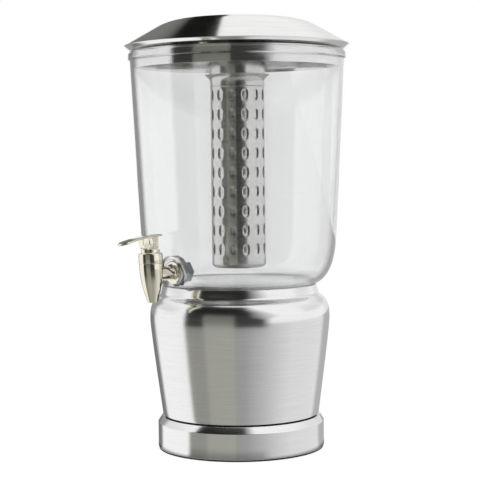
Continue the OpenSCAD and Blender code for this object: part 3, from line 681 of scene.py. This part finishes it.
def makeRolledSheet():  # repeats the cell over a flat sheet and rolls the sheet round Z
    tree, into, out, ids = nodeTree("rolledSheet", [
        ("Columns", "NodeSocketInt"), ("Rows", "NodeSocketInt"), ("Radius", "NodeSocketFloat"),
        ("Pitch", "NodeSocketFloat"), ("First", "NodeSocketFloat"), ("Turn", "NodeSocketFloat"),
        ("Finish", "NodeSocketMaterial")])
    got = into.outputs
    join = tree.links.new

    def sums(operation, a, b=None):
        return mathNode(tree, operation, a, b)

    girth = sums("MULTIPLY", got["Radius"], 2 * math.pi)
    width = sums("DIVIDE", girth, got["Columns"])
    grid = tree.nodes.new("GeometryNodeMeshGrid")
    join(sums("SUBTRACT", girth, width), grid.inputs["Size X"])
    join(sums("MULTIPLY", got["Pitch"], sums("SUBTRACT", got["Rows"], 1)), grid.inputs["Size Y"])
    join(got["Columns"], grid.inputs["Vertices X"])
    join(got["Rows"], grid.inputs["Vertices Y"])
    copies = tree.nodes.new("GeometryNodeInstanceOnPoints")
    join(grid.outputs["Mesh"], copies.inputs["Points"])
    join(got["Geometry"], copies.inputs["Instance"])
    flat = tree.nodes.new("GeometryNodeRealizeInstances")
    join(copies.outputs[0], flat.inputs[0])
    place = tree.nodes.new("GeometryNodeInputPosition")
    parts = tree.nodes.new("ShaderNodeSeparateXYZ")
    join(place.outputs[0], parts.inputs[0])
    angle = sums("ADD", sums("DIVIDE", parts.outputs[0], got["Radius"]), got["Turn"])
    radius = sums("ADD", got["Radius"], parts.outputs[2])
    half = sums("MULTIPLY", sums("MULTIPLY", got["Pitch"], sums("SUBTRACT", got["Rows"], 1)), 0.5)
    level = sums("ADD", parts.outputs[1], sums("SUBTRACT", got["First"], half))
    rolled = tree.nodes.new("ShaderNodeCombineXYZ")
    join(sums("MULTIPLY", radius, sums("COSINE", angle)), rolled.inputs[0])
    join(sums("MULTIPLY", radius, sums("SINE", angle)), rolled.inputs[1])
    join(level, rolled.inputs[2])
    bend = tree.nodes.new("GeometryNodeSetPosition")
    join(flat.outputs[0], bend.inputs["Geometry"])
    join(rolled.outputs[0], bend.inputs["Position"])
    weld = tree.nodes.new("GeometryNodeMergeByDistance")
    weld.inputs["Distance"].default_value = 0.00002
    join(bend.outputs[0], weld.inputs["Geometry"])
    closeTree(tree, into, out, weld.outputs[0])
    return tree, ids


def makeInfuserTube():
    f, c = infuser, louvre
    tube, xs = louvreCell()
    step = 2 * math.pi / c["columns"]
    middle = math.radians(c["turn"]) + step * (c["columns"] - 1) / 2
    tree, ids = makeRolledSheet()
    runTree(tube, tree, ids, {
        "Columns": c["columns"], "Rows": c["rows"], "Radius": f["r"] * mm, "Pitch": c["pitch"] * mm,
        "First": c["first"] * mm, "Turn": middle, "Finish": finishes["infuserSteel"]})
    bottom = c["first"] - c["rows"] * c["pitch"] + (f["top"] - c["first"])  # where the closed end begins
    line = [(f["r"], bottom)] + arc(f["r"] - f["corner"], f["low"] + f["corner"], f["corner"], 0, -90, 8)
    line += [((f["r"] - f["corner"]) * t, f["low"]) for t in (0.66, 0.33)]
    angles = [math.radians(c["turn"]) + step * i + x / f["r"]
              for i in range(c["columns"]) for x in xs[:-1]]
    bm = bmesh.new()
    bm.from_mesh(tube.data)
    rows = [[bm.verts.new(polar(r, a, z)) for a in angles] for r, z in line]
    tip = bm.verts.new((0, 0, f["low"] * mm))
    count = len(angles)
    for upper, lower in zip(rows, rows[1:]):
        for j in range(count):
            k = (j + 1) % count
            bm.faces.new((upper[j], lower[j], lower[k], upper[k]))
    for j in range(count):
        bm.faces.new((rows[-1][j], tip, rows[-1][(j + 1) % count]))
    bmesh.ops.remove_doubles(bm, verts=bm.verts, dist=2e-5)
    bm.to_mesh(tube.data)
    bm.free()
    wall = tube.modifiers.new("wall", "SOLIDIFY")
    wall.thickness = f["wall"] * mm
    wall.offset = -1.0
    return smooth(bakeMesh(tube), 45)


dress(makeCollar(), "infuserSteel", "lid", "infuser_steel", "infuser_collar")
dress(makeInfuserMouth(), "infuserSteel", "infuser", "infuser_steel", "infuser_mouth")
dress(makeInfuserTube(), "infuserSteel", "infuser", "infuser_steel", "infuser_tube")
print("infuser made")


# tap
body = {"r": 13.0, "seam": 11.7, "drop": 30.7, "nozzleR": 5.7, "lean": 17.0, "outletR": 4.0, "chamberR": 9.5,
        "seat": -10.0, "threadR": 11.2, "threadH": 6.0, "neckR": 7.6, "flangeR": 12.8, "flangeT": 2.0,
        "washerT": 2.5, "shankR": 7.75, "tail": 13.0, "passageR": 4.2, "flare": 4.2, "topPull": 0.4,
        "endPull": 0.36, "gap": 0.05}
bonnet = {"r": 13.25, "top": 23.5, "round": 2.0, "glandR": 10.3, "glandTop": 26.9, "roof": 17.9,
          "stemR": 2.25, "grooveR": 3.9, "grooveLow": 19.25, "grooveTop": 20.95}
lever = {"pin": 34.4, "front": 43.0, "back": 17.0, "paddleR": 8.5, "tailR": 4.5, "rise": 8.5, "archR": 180.0,
         "tilt": 3.7, "t": 2.6, "blockW": 8.6, "blockBack": 8.4, "camR": 7.2, "camOffset": 5.8,
         "blockRound": 3.0, "edge": 0.35, "slotW": 4.8, "slotFront": 7.0, "slotBack": 3.8, "pinR": 1.6,
         "headR": 4.9, "headT": 1.2, "headSide": 0.2, "headChamfer": 0.3}
spring = {"r": 5.4, "wire": 0.55, "low": -2.9, "high": 17.3, "turns": 7.0, "travel": 2.7}
nut = {"r": 12.7, "flats": 21.0, "t": 12.5, "flangeT": 3.5, "washerR": 13.0}


def makeTapBody():
    t = body
    threadTop, low, lean = t["seam"] + t["threadH"], -t["drop"], math.radians(t["lean"])
    length = t["seam"] + t["drop"]
    pull = t["endPull"] * length
    side = bezier((t["r"], t["seam"]), (t["r"], t["seam"] - t["topPull"] * length),
                  (t["nozzleR"] + pull * math.sin(lean), low + pull * math.cos(lean)),
                  (t["nozzleR"], low), 24)
    outline = [(0, threadTop), (t["threadR"], threadTop), (t["threadR"], t["seam"])] + side + [(0, low)]
    piece = shift(turned("tapBody", soften(outline, 0.35, 3), 96, 35), atTapBody)
    flangeY = -t["washerT"] - t["flangeT"]
    flareY = flangeY - t["flare"]
    tailY = vessel["wall"] + t["washerT"] + t["tail"]
    shank = [(0, -tap["reach"]), (t["neckR"], -tap["reach"]), (t["neckR"], flareY)]
    shank += bezier((t["neckR"], flareY), (t["neckR"], flangeY - 0.4 * t["flare"]),
                    (t["neckR"] + 0.5, flangeY), (t["neckR"] + t["flare"], flangeY), 8)[1:]
    shank += [(t["flangeR"], flangeY + 0.7), (t["flangeR"], -t["washerT"]), (t["shankR"], -t["washerT"]),
              (t["shankR"], tailY), (0, tailY)]
    rod = shift(turned("shank", soften(shank, 0.4, 3), 96, 35), spun(-90, "X"))
    carve(piece, shift(rod, atTap), "UNION")
    for r, z0, z1 in ((t["chamberR"], t["seat"], threadTop + 1), (t["outletR"], low - 1, t["seat"] + 1)):
        bore = turned("bore", [(0, z0), (r, z0), (r, z1), (0, z1)], 72, 30)
        carve(piece, shift(bore, atTapBody))
    carve(piece, shift(along(0, t["passageR"], -tap["reach"], tailY + 1, segments=48), atTap))
    return smooth(piece, 35)


def makeBonnet():
    b, seam = bonnet, body["seam"]
    threadR = body["threadR"] + body["gap"]
    outline = [(b["stemR"], b["glandTop"]), (b["stemR"], b["grooveTop"]), (b["grooveR"], b["grooveTop"]),
               (b["grooveR"], b["grooveLow"]), (b["stemR"], b["grooveLow"]), (b["stemR"], b["roof"]),
               (threadR, b["roof"]), (threadR, seam), (b["r"], seam)]
    outline += arc(b["r"] - b["round"], b["top"] - b["round"], b["round"], 0, 90, 8)
    outline += [(b["glandR"], b["top"]), (b["glandR"], b["glandTop"])]
    return shift(turned("tapBonnet", soften(outline, 0.3, 3, 50), 96, 35), atTapBody)


def archTop(y):  # top of the lever above the pin, along its length
    r, tilt = lever["archR"], math.radians(lever["tilt"])
    return lever["rise"] - r * math.cos(tilt) + math.sqrt(r * r - (y - r * math.sin(tilt)) ** 2)


def makeLever():
    v = lever
    front, back = v["paddleR"] - v["front"], v["back"] - v["tailR"]
    lean = math.degrees(math.asin((v["paddleR"] - v["tailR"]) / (back - front)))
    outline = arc(0, back, v["tailR"], lean, 180 - lean, 20)
    outline += arc(0, front, v["paddleR"], 180 - lean, 360 + lean, 48)
    sides = []
    for a, b in zip(outline, outline[1:] + outline[:1]):  # evens out the two long sides
        gap = math.dist(a, b)
        cuts = max(1, round(gap / 2.5))
        sides += [(a[0] + (b[0] - a[0]) * k / cuts, a[1] + (b[1] - a[1]) * k / cuts) for k in range(cuts)]
    count, half = len(sides), v["t"] / 2
    verts, faces, rows = [], [], []
    rounding = [(math.cos(a), math.sin(a)) for a in (math.pi / 2 * k / 4 for k in range(-4, 5))]
    shares = (0.0, 0.35, 0.7)  # rows of the two faces, from the spine outwards
    profile = [(s, half) for s in shares] + [(None, k) for k in range(len(rounding) - 1, -1, -1)]
    profile += [(s, -half) for s in shares[::-1]]
    for share, height in profile:
        row = []
        for x, y in sides:
            spine = (0.0, min(max(y, front), back))
            reach = math.dist((x, y), spine)
            if share is None:
                wide, up = rounding[height]
                r, dz = reach - half + half * wide, half * up
            else:
                r, dz = (reach - half) * share, height
            px = spine[0] + (x - spine[0]) / reach * r
            py = spine[1] + (y - spine[1]) / reach * r
            row.append(len(verts))
            verts.append((px * mm, py * mm, (archTop(py) - half + dz) * mm))
        rows.append(row)
    for upper, lower in zip(rows, rows[1:]):
        for j in range(count):
            k = (j + 1) % count
            faces.append([upper[j], upper[k], lower[k], lower[j]])
    paddle = settle("tapLever", verts, [list(dict.fromkeys(f)) for f in faces], 40)
    camFront = v["camOffset"] + v["camR"]
    block = arc(-v["camOffset"], 0, v["camR"], 180, 270, 20)
    corner = v["blockRound"]
    block += arc(v["blockBack"] - corner, corner - v["camR"], corner, 270, 360, 10)
    block += [(v["blockBack"], archTop(v["blockBack"]) - half), (-camFront, archTop(-camFront) - half)]
    count = len(block)
    verts = [(side * v["blockW"] / 2 * mm, y * mm, z * mm) for side in (-1, 1) for y, z in block]
    faces = [list(range(count)), list(range(2 * count - 1, count - 1, -1))]
    faces += [[j, (j + 1) % count, count + (j + 1) % count, count + j] for j in range(count)]
    cam = settle("cam", verts, faces, 40)
    slotLow, slotTop = -v["camR"] - 1, v["slotBack"]
    bm = bmesh.new()
    bmesh.ops.create_cube(bm, size=1.0)
    size = (v["slotW"], v["slotFront"] + v["slotBack"], slotTop - slotLow)
    middle = (0, (v["slotBack"] - v["slotFront"]) / 2, (slotTop + slotLow) / 2)
    for vert in bm.verts:
        vert.co = Vector([(middle[k] + vert.co[k] * size[k]) * mm for k in range(3)])
    slotMesh = bpy.data.meshes.new("slot")
    bm.to_mesh(slotMesh)
    bm.free()
    carve(cam, putIn("slot", slotMesh))
    edges = cam.modifiers.new("edges", "BEVEL")
    edges.width = v["edge"] * mm
    edges.segments = 2
    edges.limit_method = "ANGLE"
    edges.angle_limit = math.radians(40)
    bakeMesh(cam)
    carve(paddle, cam, "UNION")
    hole = turned("hole", [(0, -20), (v["pinR"], -20), (v["pinR"], 20), (0, 20)], 32, 30)
    carve(paddle, shift(hole, spun(90, "Y")))
    return shift(smooth(paddle, 40), atTapBody @ raised(v["pin"]))


def makePin():
    v = lever
    half = v["blockW"] / 2
    edgeR, rise = v["headR"] - v["headChamfer"], v["headT"] - (v["headSide"] + v["headChamfer"])
    domeR = (edgeR ** 2 + rise ** 2) / (2 * rise)
    dome = arc(0, half + v["headT"] - domeR, domeR, 90, math.degrees(math.acos(edgeR / domeR)), 6)
    dome = [(0, half + v["headT"])] + dome[1:] + [(v["headR"], half + v["headSide"]), (v["headR"], half)]
    outline = dome + [(v["pinR"], half), (v["pinR"], -half)] + [(r, -z) for r, z in dome[::-1]]
    piece = turned("leverPin", outline, 48, 35)
    return shift(piece, atTapBody @ raised(v["pin"]) @ spun(90, "Y"))


def makeSpring():
    tree, into, out, ids = nodeTree("springCoil", [
        ("Radius", "NodeSocketFloat"), ("Wire", "NodeSocketFloat"), ("Height", "NodeSocketFloat"),
        ("Turns", "NodeSocketFloat"), ("Finish", "NodeSocketMaterial")])
    coil = tree.nodes.new("GeometryNodeCurveSpiral")
    join = tree.links.new
    coil.inputs["Resolution"].default_value = 24
    join(into.outputs["Turns"], coil.inputs["Rotations"])
    join(into.outputs["Radius"], coil.inputs["Start Radius"])
    join(into.outputs["Radius"], coil.inputs["End Radius"])
    join(into.outputs["Height"], coil.inputs["Height"])
    ring = tree.nodes.new("GeometryNodeCurvePrimitiveCircle")
    ring.inputs["Resolution"].default_value = 8
    join(into.outputs["Wire"], ring.inputs["Radius"])
    tube = tree.nodes.new("GeometryNodeCurveToMesh")
    tube.inputs["Fill Caps"].default_value = True
    join(coil.outputs[0], tube.inputs["Curve"])
    join(ring.outputs[0], tube.inputs["Profile Curve"])
    closeTree(tree, into, out, tube.outputs[0])
    piece = runTree(putIn("returnSpring", bpy.data.meshes.new("returnSpring")), tree, ids, {
        "Radius": spring["r"] * mm, "Wire": spring["wire"] * mm, "Turns": spring["turns"],
        "Height": (spring["high"] - spring["low"]) * mm, "Finish": finishes["innerSteel"]})
    return shift(smooth(piece, 40), atTapBody @ raised(spring["low"]))


def makeNut():
    start = vessel["wall"] + body["washerT"]
    bore = body["shankR"] + body["gap"]
    flange = along(bore, nut["r"], start, start + nut["flangeT"], 0.4, name="shankNut")
    corner = nut["flats"] / math.sqrt(3)
    verts, faces = [], []
    for y, r in ((start + 0.5, corner), (start + nut["t"] - 0.8, corner), (start + nut["t"], corner - 0.9)):
        for k in range(6):
            a = math.radians(60 * k)
            verts.append((r * math.cos(a) * mm, y * mm, r * math.sin(a) * mm))
    for row in (0, 6):
        faces += [[row + k, row + (k + 1) % 6, row + 6 + (k + 1) % 6, row + 6 + k] for k in range(6)]
    faces += [[5, 4, 3, 2, 1, 0], [12, 13, 14, 15, 16, 17]]
    hexagon = settle("hexagon", verts, faces)
    carve(hexagon, along(0, bore, start - 1, start + nut["t"] + 1))
    carve(flange, hexagon, "UNION")
    return shift(smooth(flange), atTap)


def makeWasher(name, y):
    bore = body["shankR"] + body["gap"]
    return shift(along(bore, nut["washerR"], y, y + body["washerT"], 0.45, name=name), atTap)


dress(makeTapBody(), "nickel", "container", "tap_nickel", "tap_body")
dress(makeBonnet(), "nickel", "container", "tap_nickel", "tap_bonnet")
dress(makeLever(), "nickel", "lever", "tap_nickel", "tap_lever")
dress(makePin(), "nickel", "lever", "tap_nickel", "lever_pin")
coil = dress(makeSpring(), "innerSteel", "stem", "inner_steel", "return_spring")
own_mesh(coil)
dress(makeNut(), "nutPlastic", "container", "nut_plastic", "shank_nut")
for name, y, node in (("outerWasher", -body["washerT"], "outer_washer"),
                      ("innerWasher", vessel["wall"], "inner_washer")):
    dress(makeWasher(name, y), "silicone", "container", "clear_silicone", node)
for name, finish in (("stem_seal", "padRubber"), ("valve_stem", "innerSteel"),
                     ("valve_plug", "plugSilicone")):
    dress(nodes[name], finish)
print("tap made")


# stage: pale floor, white world, and cards that only reflections see
studio = {"middle": (0, 0, 0.25), "floorSize": 8.0, "floorShade": 0.86, "glow": 1.055, "share": 0.9,
          "standR": 0.095, "worldDim": 0.55, "worldSeen": 1.0, "roofZ": 2.4, "cardLift": 0.0005}
tones = {  # stops of place and value: headings and elevations in degrees, reaches and roof places in metres
    "floor": ((-174, 1), (-170, 0.2), (-144, 0.2), (-136, 1), (-77, 1), (-73, 0.31), (-48, 0.31),
              (-46, 0.385), (-8, 0.395), (-6, 0.345), (7, 0.37), (17, 0.437), (28, 0.505), (42, 0.6),
              (56, 0.694), (72, 0.78), (109, 0.81), (128, 0.83), (137, 0.49), (170, 0.45), (174, 1)),
    "floorStrip": ((-48, 1), (-46, 0.3), (-8, 0.3), (-6, 1)),
    "floorFar": ((0.55, 0), (1.1, 0.75), (2.9, 0.9)),
    # painted shadow: the stand's contact shadow on the floor, painted into the floor card that reflections
    # see, darkest at the foot
    "floorContactShade": ((0.105, 0.45), (0.124, 0.25), (0.15, 0)),
    "floorEdgeShade": ((0.1, 0.95), (0.105, 0)),
    "floorWarmth": ((-80, 0), (-70, 0.1), (-8, 0.1), (0, 0)),
    "frontLeft": ((10, -75), (45, -79)),
    "frontStart": ((3, 28), (9, 10), (19, 12), (45, 5)),
    "frontEnd": ((3, 40), (9, 55), (19, 45), (45, 25)),
    "frontShade": ((0, 0.05), (25, 0.02), (45, 0.02), (55, 0.05)),
    "frontTop": ((60, 1), (70, 0)),
    "stripShade": ((-4, 0.22), (10, 0.17), (17, 0.07), (25, 0.02)),
    "stripCover": ((-48, 0), (-46, 1), (-8, 1), (-6, 0)),
    "roofRight": ((-9, -0.05), (-3.7, -0.085), (-0.6, -0.25)),
    "roofLeft": ((-9, -0.48), (-3.7, -0.55), (-0.6, -0.99)),
    "roofOuter": ((-9, -2.4), (-3.7, -1.8), (-0.6, -1.45)),
    "roofShade": ((0, 0.01), (0.8, 0.01), (1.1, 0.16), (1.3, 0.2), (1.85, 0.17), (2, 0.9)),
    "flagTop": ((150, 20), (160, 4)),
    "leftShade": ((-10, 0.2), (-7, 0.34)),
    "leftStart": ((-10, 136), (-7, 127)),
    "backShade": ((8, 0.95), (14, 0.82), (24, 0.85), (38, 0.98)),
    "backCover": ((80, 1), (95, 0)),
}


def seenRay(tree):  # 1 for what the camera sees, also by way of metal and glass
    ray = tree.nodes.new("ShaderNodeLightPath")
    shiny = mathNode(tree, "MAXIMUM", ray.outputs["Is Glossy Ray"], ray.outputs["Is Transmission Ray"])
    return mathNode(tree, "MAXIMUM", ray.outputs["Is Camera Ray"], shiny)


def mixShaders(tree, share, first, second):
    mix = tree.nodes.new("ShaderNodeMixShader")
    for k, output in enumerate((share, first, second)):
        tree.links.new(output, mix.inputs[k])
    tree.links.new(mix.outputs[0], tree.nodes["Material Output"].inputs["Surface"])


def makeFloor():
    size = studio["floorSize"]
    mesh = bpy.data.meshes.new("floor")
    corners = [(-size, -size, 0), (size, -size, 0), (size, size, 0), (-size, size, 0)]
    mesh.from_pydata(corners, [], [[0, 1, 2, 3]])
    paint, tree = newPaint("floorPaint")
    skin = tree.nodes["Principled BSDF"]
    setInputs(skin, {"Base Color": (*grey(studio["floorShade"]), 1), "Roughness": 0.9})
    glow = tree.nodes.new("ShaderNodeEmission")
    setInputs(glow, {"Strength": studio["glow"]})
    seen = mathNode(tree, "MULTIPLY", seenRay(tree), studio["share"])
    mixShaders(tree, seen, skin.outputs[0], glow.outputs[0])
    mesh.materials.append(paint)
    putIn("floor", mesh)


def makeCardPaint():  # seen only by a ray that has met a shiny surface
    paint, tree = newPaint("cardPaint")
    tree.nodes.remove(tree.nodes["Principled BSDF"])
    tone = tree.nodes.new("ShaderNodeAttribute")
    tone.attribute_name = "tone"
    glow = tree.nodes.new("ShaderNodeEmission")
    tree.links.new(tone.outputs["Color"], glow.inputs["Color"])
    clear = tree.nodes.new("ShaderNodeBsdfTransparent")
    ray = tree.nodes.new("ShaderNodeLightPath")
    met = mathNode(tree, "GREATER_THAN", ray.outputs["Glossy Depth"], 0.5)
    cover = mathNode(tree, "MULTIPLY", met, tone.outputs["Alpha"])
    mixShaders(tree, cover, clear.outputs[0], glow.outputs[0])
    return paint


def fade(x, *stops):  # value at x on the straight runs between the stops
    for (x0, a), (x1, b) in zip(stops, stops[1:]):
        if x < x1:
            return a + (b - a) * max(0.0, x - x0) / (x1 - x0)
    return stops[-1][1]


def toneAt(name, x):
    return fade(x, *tones[name])


def makeCard(name, across, upright, place, tone, columns, rows):  # tone gives shade, cover and warmth
    verts, spots, faces = [], [], []
    for j in range(rows + 1):
        for i in range(columns + 1):
            a = across[0] + (across[1] - across[0]) * i / columns
            b = upright[0] + (upright[1] - upright[0]) * j / rows
            verts.append(place(a, b))
            spots.append(tone(a, b))
    for j in range(rows):
        for i in range(columns):
            p = j * (columns + 1) + i
            faces.append([p, p + 1, p + columns + 2, p + columns + 1])
    mesh = bpy.data.meshes.new(name)
    mesh.from_pydata(verts, [], faces)
    layer = mesh.color_attributes.new("tone", "FLOAT_COLOR", "POINT")
    for spot, (shade, cover, warmth) in zip(layer.data, spots):
        spot.color = (shade, shade, shade * (1 - warmth), cover)
    mesh.materials.append(cardPaint)
    card = putIn(name, mesh)
    card.visible_camera = card.visible_diffuse = card.visible_shadow = False


def heading(azimuth):  # level direction, counted from the camera's side
    a = math.radians(azimuth)
    return toCam * math.cos(a) + toRight * math.sin(a)


def onDome(azimuth, elevation, reach):
    e = math.radians(elevation)
    return Vector(studio["middle"]) + (heading(azimuth) * math.cos(e) + Vector((0, 0, math.sin(e)))) * reach


def domeCard(name, az, el, reach, tone):
    makeCard(name, az, el, lambda a, e: onDome(a, e, reach), tone, 72, 34)


def floorCard(name, az, reach, tone):
    makeCard(name, az, [math.log(d) for d in reach],  # rows lie closer together near the stand
             lambda a, d: heading(a) * math.exp(d) + Vector((0, 0, studio["cardLift"])),
             lambda a, d: tone(a, math.exp(d)), 240, 60)


def floorHeading(az, reach):  # direction in which the stand's wall mirrors this spot of the floor
    turn = az
    for _ in range(6):
        turn = az + math.degrees(math.asin(studio["standR"] * math.sin(math.radians(turn / 2)) / reach))
    return turn


def inFront(az, el=0.0):  # how much of the dark front lies in this direction
    left, start, end = (toneAt(edge, el) for edge in ("frontLeft", "frontStart", "frontEnd"))
    return fade(az, (left, 0), (left + 4, 1), (start, 1), (end, 0))


def floorTone(az, reach):
    turn = floorHeading(az, reach)
    far = toneAt("floorFar", reach) * toneAt("floorStrip", turn)
    # painted shadow: the two contact stops darken the floor card next to the stand's foot
    dark = max(far, toneAt("floorContactShade", reach)) * inFront(turn)
    dark = max(dark, toneAt("floorEdgeShade", reach))
    return toneAt("floor", turn) * (1 - dark), 1, toneAt("floorWarmth", turn)


def roofPlace(u, y):  # dark gap between two lamps: right edge at 0, left edge at 1, grey beside it to 2
    right, left, outer = (toneAt(edge, y) for edge in ("roofRight", "roofLeft", "roofOuter"))
    x = fade(u, (0, right), (1, left), (2, outer))
    return toRight * x + toCam * y + Vector((0, 0, studio["roofZ"]))


def flagCover(az, el, start, high):  # low straight behind the object, and with another cover by the vessel
    top = toneAt("flagTop", abs(az))
    upright = fade(el, (-10, 1), (-7, high), (top - 2, high), (top, 0))
    return fade(abs(az), (start, 0), (start + 9, 1)) * upright


cardPaint = makeCardPaint()
makeFloor()
domeCard("paleBack", (85, 275), (8, 85), 14.0, lambda az, el: (
    toneAt("backShade", el), toneAt("backCover", abs(az - 180)), 0))
floorCard("floorTones", (-180, 180), (0.097, 3.2), floorTone)
domeCard("darkFront", (-80, 60), (-5, 70), 3.0, lambda az, el: (
    toneAt("frontShade", el), inFront(az, el) * toneAt("frontTop", el), 0.05))
domeCard("greyStrip", (-48, -6), (-5, 28), 2.95, lambda az, el: (
    toneAt("stripShade", el), toneAt("stripCover", az), 0.1))
makeCard("darkRoof", (0, 2), (-9, 0.4), roofPlace, lambda u, y: (toneAt("roofShade", u), 1, 0.05), 40, 24)
domeCard("leftFlag", (-172, -126), (-14, 20), 1.0, lambda az, el: (
    toneAt("leftShade", el), flagCover(az, el, toneAt("leftStart", el), 1), 0))
domeCard("rightFlag", (130, 172), (-14, 20), 1.0, lambda az, el: (0.47, flagCover(az, el, 130, 0.3), 0))


def makeWorld():
    world = bpy.data.worlds.new("studio")
    scene.world = world
    world.use_nodes = True
    tree = world.node_tree
    back = tree.nodes["Background"]
    setInputs(back, {"Color": (1, 1, 1, 1)})
    level = tree.nodes.new("ShaderNodeMapRange")
    setInputs(level, {"To Min": studio["worldDim"], "To Max": studio["worldSeen"]})
    tree.links.new(seenRay(tree), level.inputs["Value"])
    tree.links.new(level.outputs[0], back.inputs["Strength"])


def makeLamp(name, azimuth, elevation, reach, size, power):
    data = bpy.data.lights.new(name, "AREA")
    data.shape = "RECTANGLE"
    data.size, data.size_y = size
    data.energy = power
    lamp = putIn(name, data)
    lamp.location = onDome(azimuth, elevation, reach)
    lamp.rotation_mode = "QUATERNION"
    lamp.rotation_quaternion = (Vector(studio["middle"]) - lamp.location).to_track_quat("-Z", "Y")
    lamp.visible_glossy = lamp.visible_transmission = False


makeWorld()
makeLamp("keyLamp", 62, 30, 2.2, (1.2, 1.6), 16)
makeLamp("fillLamp", -95, 20, 2.2, (0.9, 1.8), 9)
scene.view_settings.view_transform = "Standard"
print("stage made")
